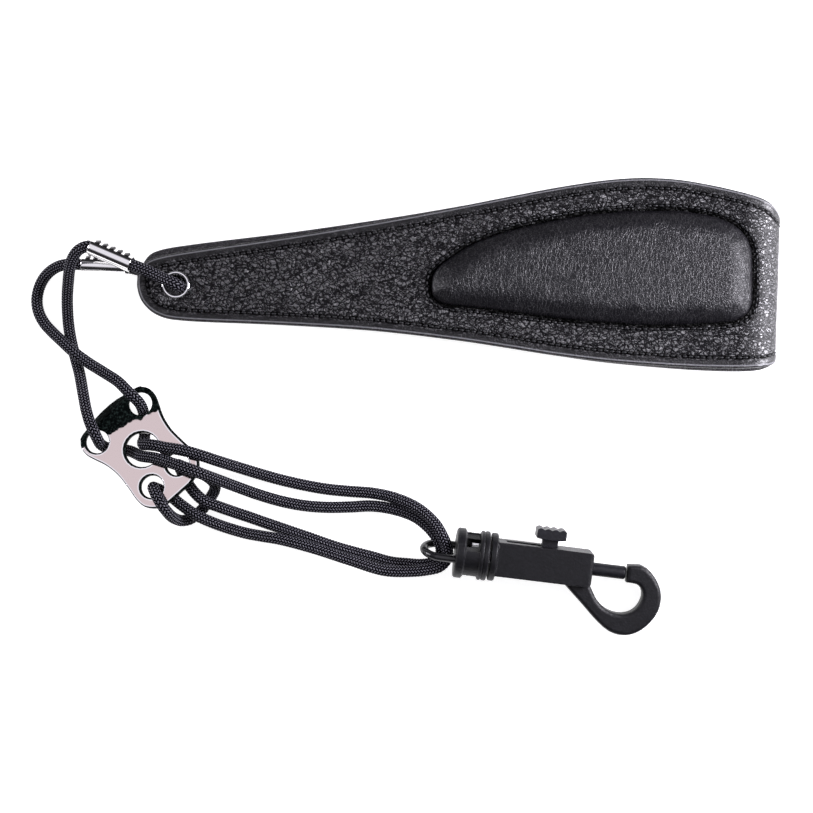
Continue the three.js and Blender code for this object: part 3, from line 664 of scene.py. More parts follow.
def smoothed(line, reach, closed):
    """The line with each point moved to the mean of those up to reach places away."""
    weight = np.hanning(2 * reach + 3)[1:-1]
    weight /= weight.sum()
    padded = np.pad(line, ((reach, reach), (0, 0)), mode="wrap" if closed else "edge")
    columns = [np.convolve(padded[:, k], weight, "valid") for k in range(line.shape[1])]
    return np.stack(columns, axis=1)


def nearest(points, line):
    """For each point in a plane, which of the line's points is nearest and how far it is."""
    tree = KDTree(len(line))
    for index, (x, y) in enumerate(line):
        tree.insert((x, y, 0), index)
    tree.balance()
    found = np.array([tree.find((x, y, 0))[1:] for x, y in points])
    return found[:, 0].astype(int), found[:, 1]


def distances(points, line):
    """How far each point is from a line that is given as close points, in a plane."""
    return nearest(points, line)[1]


def signed_area(line):
    """The area inside a closed line, positive where it runs anticlockwise."""
    x, y = line.T
    return 0.5 * np.sum(x * np.roll(y, -1) - np.roll(x, -1) * y)


def is_inside(points, outline):
    """Whether each point is inside a closed line, by counting the sides that a ray crosses."""
    inside = np.zeros(len(points), bool)
    x, y = points[:, 0], points[:, 1]
    for (x0, y0), (x1, y1) in zip(outline, np.roll(outline, -1, axis=0)):
        crosses = (y0 > y) != (y1 > y)
        if y0 != y1:
            inside ^= crosses & (x < (x1 - x0) * (y - y0) / (y1 - y0) + x0)
    return inside


def bump_of(x):
    """0 at 0 and below, 1 at 1 and above, smooth between them."""
    t = np.clip(x, 0, 1)
    return t * t * (3 - 2 * t)


# ---- cords


def route_line(route, step):
    """A smooth open line through a route's points, as even points in the row frame."""
    points = np.array(route) + DRAWING_SHIFT
    knots = np.concatenate([[0], np.cumsum(np.sqrt(norms(np.diff(points, axis=0))))])
    slopes = np.gradient(points, knots, axis=0)
    rows = [points[:1]]
    for i in range(len(points) - 1):
        width = knots[i + 1] - knots[i]
        t = np.linspace(0, 1, 25)[1:, None]
        rows.append(
            (2 * t**3 - 3 * t**2 + 1) * points[i]
            + (t**3 - 2 * t**2 + t) * width * slopes[i]
            + (3 * t**2 - 2 * t**3) * points[i + 1]
            + (t**3 - t**2) * width * slopes[i + 1]
        )
    line = np.concatenate(rows)
    return even_line(line, round(lengths_along(line)[-1] / step))


def ring_frames(line):
    """Two unit vectors across the line at each point, which turn no more than the line does."""
    tangents = np.gradient(line, axis=0)
    tangents /= norms(tangents)[:, None]
    first = np.cross(tangents[0], UP)
    if np.linalg.norm(first) < 0.1:
        first = np.cross(tangents[0], (1.0, 0.0, 0.0))
    sides = [first / np.linalg.norm(first)]
    for tangent in tangents[1:]:
        side = sides[-1] - tangent * (sides[-1] @ tangent)
        sides.append(side / np.linalg.norm(side))
    sides = np.array(sides)
    return sides, np.cross(tangents, sides)


def braid_height(length, turn):
    """The height of the braid's strands, from 0 in the gaps to 1, as cord_finish draws it."""
    a = turn * BRAID_STRANDS + length / BRAID_CELL
    b = turn * BRAID_STRANDS - length / BRAID_CELL
    phase = np.mod(np.floor(a) + np.floor(b), 4)
    upper = phase < 1.5
    part_a, part_b = np.mod(a, 1), np.mod(b, 1)
    ridge = np.sin(math.pi * np.where(upper, part_a, part_b))
    reach = np.sin(math.pi / 2 * np.where(upper, part_b + phase, part_a + phase - 2))
    return ridge * (0.35 + 0.65 * reach)


def ring_faces(rings, sides, spans):
    """The sides of a tube whose points go ring by ring; with a span per ring it meets itself."""
    faces = []
    for i in range(spans):
        a, b = i * sides, (i + 1) % rings * sides
        for k in range(sides):
            n = (k + 1) % sides
            faces.append((a + k, a + n, b + n, b + k))
    return faces


def tube_faces(rings, sides):
    """The sides and flat ends of an open tube."""
    faces = ring_faces(rings, sides, rings - 1)
    faces.append(tuple(range(sides))[::-1])
    faces.append(tuple(range((rings - 1) * sides, rings * sides)))
    return faces


def braided_cord(name, line, material, part=slice(None)):
    """A tube with the braid's relief along that part of the line."""
    side, rise = (vectors[part] for vectors in ring_frames(line))
    length = (np.arange(len(line)) * np.linalg.norm(line[1] - line[0]))[part]
    turn = np.arange(CORD_SIDES) / CORD_SIDES
    height = braid_height(length[:, None], turn[None, :])
    radius = CORD_RADIUS - BRAID_RELIEF * (1 - height)
    angle = 2 * math.pi * turn
    out = side[:, None] * np.cos(angle)[None, :, None] + rise[:, None] * np.sin(angle)[None, :, None]
    points = line[part][:, None] + out * radius[:, :, None]
    mesh = mesh_of(name, points.reshape(-1, 3), tube_faces(len(length), CORD_SIDES))
    write_cord_uv(mesh, length / MM)
    return add_object(name, mesh, material)


def write_cord_uv(mesh, lengths):
    """UV is (millimetres along, turns round), and the last side runs up to a whole turn."""
    corners = corner_points(mesh)
    turn = corners % CORD_SIDES / CORD_SIDES
    quads = turn[: 4 * (len(lengths) - 1) * CORD_SIDES].reshape(-1, 4)
    wraps = quads.max(axis=1) - quads.min(axis=1) > 0.5
    quads[wraps] += quads[wraps] < 0.5
    write_corner_uv(mesh, np.stack([lengths[corners // CORD_SIDES], turn], axis=1))


def declare_cord(replaced):
    """Hides the CAD cord that a braided piece replaces."""
    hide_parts(replaced)


def drawn(point):
    """A point of a route, in the row frame."""
    return tuple(np.array(point) + DRAWING_SHIFT)


def bent(piece, route, bodies, first, last):
    """Bakes the piece's place into its mesh."""
    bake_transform(piece)


def make_cords(material):
    # node: (route, its one or two bodies, the pair of the route's points that is handed to bent())
    runs = {
        "eyelet_cord_front": (EYELET_CORD_FRONT, ("front_half",), ()),
        "eyelet_cord_back": (EYELET_CORD_BACK, ("root",), ()),
        "hitch_cord": (HITCH_CORD, ("adjuster",), ()),
        "neck_cord_back": (NECK_CORD_BACK, ("root", "adjuster"), (10, 17)),
        "hook_cord_1": (HOOK_CORD_1, ("adjuster", "swivel"), (11, 18)),
        "hook_cord_2": (HOOK_CORD_2, ("adjuster", "swivel"), (11, 18)),
    }
    for node, (route, bodies, bend) in runs.items():
        line = route_line(route, CORD_STEP)
        piece = braided_cord(node + "_braid", line, material)
        if bend:
            bent(piece, route, bodies, *bend)
        else:
            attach(piece, *bodies)
        declare_cord(node)
    make_front_neck_cord(material)


def make_front_neck_cord(material):
    """It is two pieces that meet at a point of its route."""
    route = NECK_CORD_FRONT
    meeting = 9
    line = route_line(route, CORD_STEP)
    cut = int(norms(line - drawn(route[meeting])).argmin())
    # name: (the part of the line, its bodies, the pair of the route's points that is handed to bent(),
    # exit end)
    halves = {
        "upper": (slice(0, cut + 1), ("front_half", "root"), (2, 7), 0),
        "lower": (slice(cut, None), ("root", "adjuster"), (10, 15), -1),
    }
    for half, (part, bodies, bend, exit_end) in halves.items():
        piece = braided_cord("neck_cord_front_" + half, line, material, part)
        bent(piece, route, bodies, *bend)
        declare_cord("neck_cord_front")


# ---- the band's outline


def unrolled(points):
    """Row-frame points of the band, as (distance past the fold's start, distance along the axis)."""
    flat = points[:, :2] - AXIS_POINT[:2]
    across, along = flat @ ACROSS, flat @ ALONG
    height = points[:, 2] - AXIS_POINT[2]
    turn = np.arctan2(across, height)
    past = np.where(height > 0, across, FOLD_LENGTH - across)
    return np.stack([np.where(across > 0, FOLD_RADIUS * turn, past), along], axis=1)


def rolled(flat, height):
    """The places of unrolled points, at heights counted from the fold's axis."""
    past, along = flat[:, 0], flat[:, 1]
    turn = np.clip(past / FOLD_RADIUS, 0, math.pi)
    straight = np.where(past < 0, past, np.where(past > FOLD_LENGTH, FOLD_LENGTH - past, 0))
    across = straight + height * np.sin(turn)
    plan = AXIS_POINT[:2] + across[:, None] * ACROSS + along[:, None] * ALONG
    return np.column_stack([plan, AXIS_POINT[2] + height * np.cos(turn)])


def facing(flat):
    """The direction that the outer face looks in at unrolled points."""
    turn = np.clip(flat[:, 0] / FOLD_RADIUS, 0, math.pi)
    return np.column_stack([np.sin(turn)[:, None] * ACROSS, np.cos(turn)])


def eyelet_place(side):
    low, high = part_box("eyelet_" + side)
    return np.array((low + high) / 2)


def without_repeats(points, gap):
    kept = [points[0]]
    for point in points[1:]:
        if np.linalg.norm(point - kept[-1]) > gap:
            kept.append(point)
    return np.array(kept)


def half_outline(side):
    """The unrolled corners of one half's outline, from the CAD backing's edge."""
    points = node_points("backing_" + side)
    near_eyelet = norms(points[:, :2] - eyelet_place(side)[:2]) < EYELET_CLEARANCE
    points = points[~near_eyelet]
    short_of_fold = (points[:, :2] - AXIS_POINT[:2]) @ ACROSS < -CUT_CLEARANCE
    return unrolled(points[short_of_fold])


def band_outline():
    """The unrolled band's closed outline, from the front tip along the top to the back tip."""
    front, back = half_outline("front"), half_outline("back")
    ring = node_points("neck_leather_fold")
    spoke = np.hypot((ring[:, :2] - AXIS_POINT[:2]) @ ACROSS, ring[:, 2] - AXIS_POINT[2])
    fold = unrolled(ring[spoke > OUTER_FACE - 0.1 * MM])
    every = np.concatenate([front, fold, back])
    tips = np.array([front[front[:, 0].argmin()], back[back[:, 0].argmax()]])
    knots = [tips[0, 0], 0, FOLD_LENGTH, tips[1, 0]]
    middle = np.interp(every[:, 0], knots, [tips[0, 1], 0, 0, tips[1, 1]])
    is_top = every[:, 1] >= middle
    top, bottom = (every[chosen] for chosen in (is_top, ~is_top))
    top, bottom = (side[np.lexsort((side[:, 1], side[:, 0]))] for side in (top, bottom))
    loop = np.concatenate([top, bottom[::-1]])
    line = closed_curve(without_repeats(loop, 1.2 * MM), OUTLINE_STEP)
    return smoothed(line, 12, closed=True)


def pad_outline(side):
    """The unrolled edge of one pad, where the CAD pad rises from the leather's flat face."""
    sign = 1 if side == "front" else -1
    points = node_points("neck_leather_" + side)
    flat_face = np.abs(points[:, 2] - (AXIS_POINT[2] + sign * OUTER_FACE)) < 0.02 * MM
    near_eyelet = norms(points[:, :2] - eyelet_place(side)[:2]) < EYELET_CLEARANCE
    points = unrolled(points[flat_face & ~near_eyelet])
    points = points[distances(points, BAND) > 3 * MM]
    past = points[:, 0]
    points = points[(past < -CUT_CLEARANCE) | (past > FOLD_LENGTH + CUT_CLEARANCE)]
    centre = (points.min(axis=0) + points.max(axis=0)) / 2
    span = np.ptp(points, axis=0)
    around = np.argsort(np.arctan2(*((points - centre) / span).T[::-1]))
    corners = without_repeats(points[around], 1.0 * MM)
    return smoothed(closed_curve(corners, 0.3 * MM), 5, closed=True)


BAND = band_outline()
PADS = {side: pad_outline(side) for side in HALF_BODIES}


def inset(line, amount):
    """A closed line moved towards its inside by amount."""
    ahead, behind = np.roll(line, -4, axis=0), np.roll(line, 4, axis=0)
    tangent = ahead - behind
    tangent /= norms(tangent)[:, None]
    normal = np.stack([-tangent[:, 1], tangent[:, 0]], axis=1) * np.sign(signed_area(line))
    return even_closed(line + amount * normal, OUTLINE_STEP)


# ---- the band's layers


def columns():
    """Places along the unrolled band, closer together towards its round ends."""
    first, last = BAND[:, 0].min(), BAND[:, 0].max()
    ends = ROUND_END * (1 - np.cos(np.linspace(0.12, math.pi / 2, 24)))
    middle = np.arange(first + ROUND_END + COLUMN_STEP, last - ROUND_END, COLUMN_STEP)
    return np.concatenate([first + ends, middle, (last - ends)[::-1]])


def rows(length):
    """Places across a column from 0 to 1, closer together at its two edges."""
    edge = np.array([0, 0.05, 0.18, 0.4, 0.7, 1.1, 1.6]) * MM * min(1, length / (8 * MM)) / length
    middle = np.linspace(edge[-1], 1 - edge[-1], ROWS)[1:-1]
    return np.concatenate([edge, middle, 1 - edge[::-1]])


def band_grid():
    """The unrolled grid that both layers are made on: (columns, rows, 2)."""
    tip, tail = BAND[:, 0].argmin(), BAND[:, 0].argmax()
    ring = np.roll(BAND, -tip, axis=0)
    turn = (tail - tip) % len(BAND)
    one, two = ring[: turn + 1], np.vstack([ring[turn:], ring[:1]])[::-1]
    grid = []
    for past in columns():
        a, b = (np.interp(past, side[:, 0], side[:, 1]) for side in (one, two))
        low, high = min(a, b), max(a, b)
        grid.append([(past, low + (high - low) * t) for t in rows(high - low)])
    return np.array(grid)


def slow_waves(flat, size):
    """A gentle unevenness of the hide, from -1 to 1."""
    x, y = (flat / size).T
    return (np.sin(x + 0.7 * np.sin(1.3 * y)) + np.sin(0.6 * x - 1.7 * y + 1.1)) / 2


def hump(away, width):
    """1 at no distance and almost 0 at two widths."""
    return np.exp(-((away / width) ** 2))


def outer_height(flat, edge_distance):
    """The height of the neck leather's outer face over the unrolled band."""
    height = OUTER_FACE + WAVES["height"] * slow_waves(flat, WAVES["size"])
    height += EDGE_ROLL["height"] * hump(edge_distance - EDGE_ROLL["inset"], EDGE_ROLL["width"])
    height -= SEAM_DIP["depth"] * hump(edge_distance - STITCH_INSET, SEAM_DIP["width"])
    for outline in PADS.values():
        away = distances(flat, outline)
        inner = is_inside(flat, outline)
        height -= PAD_DIP["depth"] * hump(away, PAD_DIP["width"]) * ~inner
        height -= (PAD_DIP["depth"] + PAD_DIP["under"] * bump_of(away / PAD_DIP["slope"])) * inner
    return height


def rounding(edge_distance, thickness):
    """How far a face falls away from its height at the half-round edge of a layer."""
    half = thickness / 2
    short = np.clip(half - edge_distance, 0, half)
    return half - np.sqrt(half**2 - short**2)


def layer_mesh(name, grid, upper, lower):
    """A closed layer between two heights over the grid, with the eyelets' holes cut out."""
    count, across = grid.shape[:2]
    flat = grid.reshape(-1, 2)
    edge = np.zeros((count, across), bool)
    edge[[0, -1], :] = True
    edge[:, [0, -1]] = True
    edge = edge.ravel()
    middle = (upper + lower) / 2
    top = rolled(flat, np.where(edge, middle, upper))
    inner = np.flatnonzero(~edge)
    under = np.arange(count * across)
    under[inner] = count * across + np.arange(len(inner))
    points = np.vstack([top, rolled(flat[inner], lower[inner])])
    places = np.vstack([flat, flat[inner]])
    open_at = hole_mask(flat)
    faces = []
    for i in range(count - 1):
        for k in range(across - 1):
            quad = [i * across + k, (i + 1) * across + k, (i + 1) * across + k + 1, i * across + k + 1]
            if not open_at[quad].any():
                faces.append(tuple(quad))
                faces.append(tuple(under[quad[::-1]]))
    faces += hole_walls(faces, under, count * across)
    mesh = mesh_of(name, points, faces)
    write_uv(mesh, places / MM)
    return clean(mesh)


def eyelet_holes():
    """The unrolled middles of the two eyelets."""
    seats = [(*eyelet_place(side)[:2], AXIS_POINT[2] + sign * OUTER_FACE)
             for side, sign in (("front", 1), ("back", -1))]
    return unrolled(np.array(seats))


def hole_mask(flat):
    away = [norms(flat - hole) for hole in eyelet_holes()]
    return np.min(away, axis=0) < EYELET_HOLE_RADIUS


def hole_walls(faces, under, upper_count):
    """The walls of the holes, between the open edges of the outer face and those under them."""
    sides = {}
    for face in faces:
        if max(face) < upper_count:
            for a, b in zip(face, face[1:] + face[:1]):
                sides[(a, b)] = True
    walls = []
    for a, b in sides:
        if (b, a) not in sides and under[a] != a and under[b] != b:
            walls.append((b, a, int(under[a]), int(under[b])))
    return walls


def clean(mesh):
    """Drops the points that no face uses."""
    bm = bmesh.new()
    bm.from_mesh(mesh)
    bmesh.ops.delete(bm, geom=[v for v in bm.verts if not v.link_faces], context="VERTS")
    bmesh.ops.recalc_face_normals(bm, faces=bm.faces)
    bm.to_mesh(mesh)
    bm.free()
    return mesh


def blend_halves(piece):
    """Bakes the piece's place into its mesh."""
    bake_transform(piece)


def make_band(materials):
    grid = band_grid()
    flat = grid.reshape(-1, 2)
    edge_distance = distances(flat, BAND)
    fall = rounding(edge_distance, LEATHER)
    level = np.zeros(len(flat))
    # name: (the height of its outer face, the height of its inner face, slot)
    layers = {
        "neck_leather": (outer_height(flat, edge_distance), level + OUTER_FACE - LEATHER, "leather"),
        "backing": (level + INNER_FACE + LEATHER, level + INNER_FACE, "backing"),
    }
    for name, (upper, lower, slot) in layers.items():
        mesh = layer_mesh(name, grid, upper - fall, lower + fall)
        if slot == "leather":
            write_rim(mesh)
        piece = add_object(name, mesh, materials[slot])
        blend_halves(piece)
        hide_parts(*(name + "_" + part for part in ("front", "back", "fold")))


def write_rim(mesh):
    """How far each point is from the band's edge and from the pads' edges, in millimetres."""
    places = unrolled_uv(mesh) * MM
    write_float(mesh, "rim_mm", distances(places, BAND) / MM)
    pads = [distances(places, outline) for outline in PADS.values()]
    write_float(mesh, "pad_mm", np.min(pads, axis=0) / MM)


def unrolled_uv(mesh):
    """Each point's UV, in millimetres."""
    uv = np.zeros(2 * len(mesh.loops), np.float32)
    mesh.uv_layers[0].data.foreach_get("uv", uv)
    per_point = np.zeros((len(mesh.vertices), 2))
    per_point[corner_points(mesh)] = uv.reshape(-1, 2)
    return per_point


# ---- pads

# The cloth is simulated at this many times its size, where the solver is steadier.
SIM_SCALE = 10.0
PAD_FOOT = OUTER_FACE - 1.0 * MM
PAD_START = 11.3 * MM
PAD_VOXEL = 1.2 * MM
# How far the pad slopes in from its edge, and the part of its height that it has there.
PAD_SLOPE = 10 * MM
PAD_SHOULDER = 0.5
PAD_PRESSURE = 4.0
PAD_CAP = PAD_CROWN - PAD_START
SIM_FRAMES = 20


def pad_block():
    """The pad before it swells: its outline drawn in, from its foot to its starting height."""
    line = inset(PADS["front"], 0.6 * MM)[::4]
    places = rolled(line, np.full(len(line), PAD_FOOT)) * SIM_SCALE
    bm = bmesh.new()
    foot = bm.faces.new([bm.verts.new(place) for place in places])
    raised = bmesh.ops.extrude_face_region(bm, geom=[foot])["geom"]
    top = [item for item in raised if isinstance(item, bmesh.types.BMVert)]
    bmesh.ops.translate(bm, verts=top, vec=(0, 0, (PAD_START - PAD_FOOT) * SIM_SCALE))
    bmesh.ops.recalc_face_normals(bm, faces=bm.faces)
    block = bpy.data.objects.new("pad_block", freed_mesh("pad_block", bm))
    link(block)
    remesh = block.modifiers.new("remesh", "REMESH")
    remesh.mode = "VOXEL"
    remesh.voxel_size = PAD_VOXEL * SIM_SCALE
    apply_modifiers(block)
    return block


def swell(block):
    """Cloth under pressure, held at its foot; no point moves further than the cap."""
    rest = points_of(block.data)
    held = block.vertex_groups.new(name="held")
    foot = rest[:, 2] < (AXIS_POINT[2] + OUTER_FACE - 0.2 * MM) * SIM_SCALE
    held.add(np.flatnonzero(foot).tolist(), 1.0, "REPLACE")
    cloth = block.modifiers.new("cloth", "CLOTH")
    settings = cloth.settings
    settings.quality = 6
    settings.use_pressure = True
    settings.uniform_pressure_force = PAD_PRESSURE
    settings.vertex_group_mass = held.name
    settings.effector_weights.gravity = 0
    cloth.point_cache.frame_start = 1
    cloth.point_cache.frame_end = SIM_FRAMES
    for number in range(1, SIM_FRAMES + 1):
        bpy.context.scene.frame_set(number)
    apply_modifiers(block)
    bpy.context.scene.frame_set(1)
    moved = points_of(block.data) - rest
    far = norms(moved)
    cap = PAD_CAP * SIM_SCALE
    eased = cap * np.tanh(far / cap)
    moved *= (eased / np.maximum(far, 1e-9))[:, None]
    block.data.vertices.foreach_set("co", (rest + moved).astype(np.float32).ravel())


def pad_shape():
    """The swollen pad's points over the front half, and its faces."""
    block = pad_block()
    swell(block)
    relax = block.modifiers.new("relax", "SMOOTH")
    relax.iterations = 4
    finer = block.modifiers.new("finer", "SUBSURF")
    finer.levels = finer.render_levels = 1
    apply_modifiers(block)
    points = points_of(block.data) / SIM_SCALE
    faces = [tuple(face.vertices) for face in block.data.polygons]
    bpy.data.objects.remove(block)
    return points, faces


def make_pads(materials):
    points, faces = pad_shape()
    flat = unrolled(points)
    foot = AXIS_POINT[2] + PAD_FOOT
    inside = distances(flat, PADS["front"]) / PAD_SLOPE
    dome = PAD_SHOULDER + (1 - PAD_SHOULDER) * np.sin(math.pi / 2 * np.clip(inside, 0, 1))
    points[:, 2] = foot + (points[:, 2] - foot) * dome + 0.06 * MM * slow_waves(flat, 5 * MM)
    place_pad("front", points, faces, flat, materials)
    back = fold_over(points)
    place_pad("back", back, [face[::-1] for face in faces], flat, materials)


def fold_over(points):
    """The front half's points mirrored below the fold's axis and turned as the back half is."""
    turn = back_turn()
    flat = points[:, :2] - AXIS_POINT[:2]
    plan = AXIS_POINT[:2] + flat @ turn.T
    return np.column_stack([plan, 2 * AXIS_POINT[2] - points[:, 2]])


def back_turn():
    """The turn about the fold that takes the front eyelet's place to the back one's."""
    front, back = (eyelet_place(side)[:2] - AXIS_POINT[:2] for side in ("front", "back"))
    angle = math.atan2(back[1], back[0]) - math.atan2(front[1], front[0])
    return np.array([[math.cos(angle), -math.sin(angle)], [math.sin(angle), math.cos(angle)]])


def place_pad(side, points, faces, flat, materials):
    mesh = mesh_of("pad_cover_" + side, points, faces)
    write_uv(mesh, flat / MM)
    piece = add_object("pad_cover_" + side, mesh, materials["pad_leather"])
    settle(piece, HALF_BODIES[side], "pad_" + side)


# ---- stitches


def stitch_mesh(name, places, up):
    """One small capsule of thread for each stitch; places go (start, end) for each."""
    sides, rings = 7, 6
    points, faces = [], []
    bend = np.linspace(0, 1, rings)
    girth = np.sqrt(np.clip(1 - (2 * bend - 1) ** 4, 0.05, 1))
    turn = 2 * math.pi * np.arange(sides) / sides
    for (start, end), normal in zip(places, up):
        run = end - start
        side = np.cross(run, normal)
        side /= np.linalg.norm(side)
        base = len(points)
        for t, size in zip(bend, girth):
            sink = normal * THREAD * (1.6 * (2 * t - 1) ** 4)
            middle = start + run * t - sink
            points += [
                middle + THREAD * size * (math.cos(a) * side + math.sin(a) * normal) for a in turn
            ]
        # These rings run the other way round than a cord's, so their faces are turned over.
        faces += [tuple(base + index for index in face[::-1]) for face in tube_faces(rings, sides)]
    return mesh_of(name, points, faces)


def seam(name, line, height_at, material):
    """Stitches along a closed unrolled line, lying a little over the surface's height."""
    line = even_closed(line, SEAM_STEP)
    total = len(line)
    count = round(total * SEAM_STEP / STITCH_PITCH)
    pitch = total / count
    reach = STITCH_LENGTH / SEAM_STEP
    starts = (np.arange(count) * pitch).astype(int)
    ends = ((np.arange(count) * pitch + reach).astype(int)) % total
    middles = (starts + int(reach / 2)) % total
    height = height_at(line[middles]) + 0.8 * THREAD
    places = np.stack([rolled(line[starts], height), rolled(line[ends], height)], axis=1)
    mesh = stitch_mesh(name, places, facing(line[middles]))
    return add_object(name, mesh, material)


def make_stitches(material):
    border = inset(BAND, STITCH_INSET)

    def border_height(flat):
        return outer_height(flat, distances(flat, BAND))

    piece = seam("border_stitches", border, border_height, material)
    blend_halves(piece)
    for side, body in HALF_BODIES.items():
        line = inset(PADS[side], -PAD_STITCH_OFFSET)
        piece = seam("pad_stitches_" + side, line, border_height, material)
        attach(piece, body)


# ---- metal fittings


# The eyelets: the radius of their bore, their tube's wall, and how high their flange is domed.
EYELET_BORE = 3.6 * MM
EYELET_WALL = 0.4 * MM
EYELET_DOME = 0.62 * MM


def turned_mesh(name, profile, segments=72):
    """A closed profile of (radius, height) turned about Z."""
    points = []
    for angle in 2 * math.pi * np.arange(segments) / segments:
        points += [(r * math.cos(angle), r * math.sin(angle), z) for r, z in profile]
    return mesh_of(name, points, ring_faces(segments, len(profile), segments))


def make_eyelet(side, material):
    """A rolled eyelet: a domed flange on the outer face, and a tube through the band."""
    low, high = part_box("eyelet_" + side)
    tall = high.z - low.z
    bore, flange, wall, dome = EYELET_BORE, (high.x - low.x) / 2, EYELET_WALL, EYELET_DOME
    foot = tall - 0.5 * MM
    profile = [(bore, 0), (bore, foot - 0.2 * MM)]
    for step in range(13):
        angle = math.pi * (1 - step / 12)
        middle, reach = (bore + flange) / 2, (flange - bore) / 2
        profile.append((middle + reach * math.cos(angle), foot + dome * math.sin(angle)))
    profile += [(flange - 0.12 * MM, foot - 0.1 * MM), (bore + wall, foot - 0.1 * MM), (bore + wall, 0)]
    mesh = turned_mesh("eyelet_ring_" + side, profile)
    up = 1 if side == "front" else -1
    start = low.z if up > 0 else high.z
    middle = (low + high) / 2
    mesh.transform(Matrix.Translation((middle.x, middle.y, start)) @ Matrix.Diagonal((1, 1, up, 1)))
    if up < 0:
        mesh.flip_normals()
    piece = add_object("eyelet_ring_" + side, mesh, material)
    settle(piece, HALF_BODIES[side], "eyelet_" + side)


# The crimps: their wall, the softening at their ends, and the points round a section.
CRIMP_WALL = 0.4 * MM
CRIMP_LIP = 0.3 * MM
CRIMP_SIDES = 64
# Their teeth: how many, their size (the first is a part of their pitch), where they sit down from
# the crimp's upper edge, how they lean about X and Z, and how rounded they are.
TOOTH_COUNT = 5
TOOTH_SIZE = (0.72, 1.3 * MM, 2.6 * MM)
TOOTH_DOWN = (0.45 * MM, 1.9 * MM)
TOOTH_LEAN = (math.radians(28), math.radians(24))
TOOTH_ROUNDING = 0.28 * MM


def crimp_section(width, height, count):
    """Points round a section with half-round ends, from its right side over the top."""
    half, straight = width / 2, (height - width) / 2
    angles = 2 * math.pi * (np.arange(count) + 0.5) / count
    lift = np.where(np.sin(angles) >= 0, straight, -straight)
    return np.stack([half * np.cos(angles), half * np.sin(angles) + lift], axis=1)


def crimp_rings(length, width, height):
    """The crimp's sections, out along its outside and back along its inside."""
    wall, lip, count = CRIMP_WALL, CRIMP_LIP, CRIMP_SIDES
    outer = crimp_section(width, height, count)
    rim = crimp_section(width - wall, height - wall, count)
    inner = crimp_section(width - 2 * wall, height - 2 * wall, count)
    end = length / 2
    places = [(-end, rim), (lip / 3 - end, outer), (lip - end, outer)]
    places += [(end - lip, outer), (end - lip / 3, outer), (end, rim)]
    places += [(end - lip, inner), (lip - end, inner)]
    return [np.column_stack([np.full(count, x), section]) for x, section in places]


def make_crimp(side, material, teeth_shade_material):
    """A strip of metal closed round two cords, with the fingers of its two edges interlocked."""
    points = node_points("crimp_" + side)
    middle = (points.min(axis=0) + points.max(axis=0)) / 2
    plan = points[:, :2] - middle[:2]
    across, axis = np.linalg.eigh(plan.T @ plan)[1].T
    axis = axis * np.sign(axis[0])
    size = np.ptp(plan @ axis), np.ptp(plan @ across), np.ptp(points[:, 2])
    rings = crimp_rings(*size)
    faces = ring_faces(len(rings), len(rings[0]), len(rings))
    shell_mesh = clean(mesh_of("crimp_shell_" + side, np.concatenate(rings), faces))
    shell = add_object("crimp_shell_" + side, shell_mesh, material)
    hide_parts("crimp_" + side)
    # The teeth get the dark copy of the crimp's metal, painted shade on them.
    teeth = add_object("crimp_teeth_" + side, crimp_teeth(*size), teeth_shade_material)
    place = Matrix.Translation(middle) @ Matrix.Rotation(math.atan2(axis[1], axis[0]), 4, "Z")
    for piece in (shell, teeth):
        piece.data.transform(place)
        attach(piece, HALF_BODIES[side])


def crimp_teeth(length, width, height):
    """The crimp's fingers, bent over along its upper edge."""
    pitch = length / (TOOTH_COUNT + 0.7)
    fill, thick, tall = TOOTH_SIZE
    size = Matrix.Diagonal((fill * pitch, thick, tall, 1))
    lean = Matrix.Rotation(TOOTH_LEAN[0], 4, "X") @ Matrix.Rotation(TOOTH_LEAN[1], 4, "Z")
    bm = bmesh.new()
    for i in range(TOOTH_COUNT):
        x = (i - (TOOTH_COUNT - 1) / 2) * pitch
        place = Matrix.Translation((x, width / 2 - TOOTH_DOWN[0], height / 2 - TOOTH_DOWN[1]))
        bmesh.ops.create_cube(bm, size=1.0, matrix=place @ lean @ size)
    edges = list(bm.edges)
    bmesh.ops.bevel(bm, geom=edges, offset=TOOTH_ROUNDING, segments=3, profile=0.5, affect="EDGES")
    return freed_mesh("crimp_teeth", bm)


def plate_border():
    """Close points on the plate's sharp edges, and the ways its walls face there, in its plane."""
    bm = bmesh.new()
    bm.from_mesh(frame["nodes"]["adjuster_plate"].data)
    bmesh.ops.remove_doubles(bm, verts=bm.verts, dist=0.002 * MM)
    points, facings = [], []
    for edge in bm.edges:
        if edge.is_manifold and edge.calc_face_angle() > math.radians(60):
            wall = min(edge.link_faces, key=lambda face: abs(face.normal @ Vector(PLATE_UP)))
            start, end = (np.array(vert.co) for vert in edge.verts)
            for t in np.linspace(0, 1, 2 + round(edge.calc_length() / (0.15 * MM))):
                points.append(start + (end - start) * t)
                facings.append(np.array(wall.normal))
    bm.free()
    plane = np.stack([PLATE_OVER, np.cross(PLATE_UP, PLATE_OVER)], axis=1)
    return np.array(points) @ plane, np.array(facings), plane


def make_plate(material):
    """The CAD plate with softened edges, and how far each point is inside its painted dark rims.

    The rims, a painted dark reflection of its walls, are wider where the walls face right.
    """
    name = "adjuster_plate_polished"
    piece = moulded("adjuster_plate", name, 0.2 * MM, 5, "adjuster", "black_nickel", material)
    border, facings, plane = plate_border()
    places, away = nearest(points_of(piece.data) @ plane, border)
    write_float(piece.data, "rim_mm", away / MM - RIM_WIDTH * (1 + 0.7 * facings[places, 0]))


# ---- snap hook

HOOK_AXIS = np.array(JOINTS["hook_swivel"]["axis"])
HOOK_POINT = np.array(JOINTS["hook_swivel"]["pos_m"])


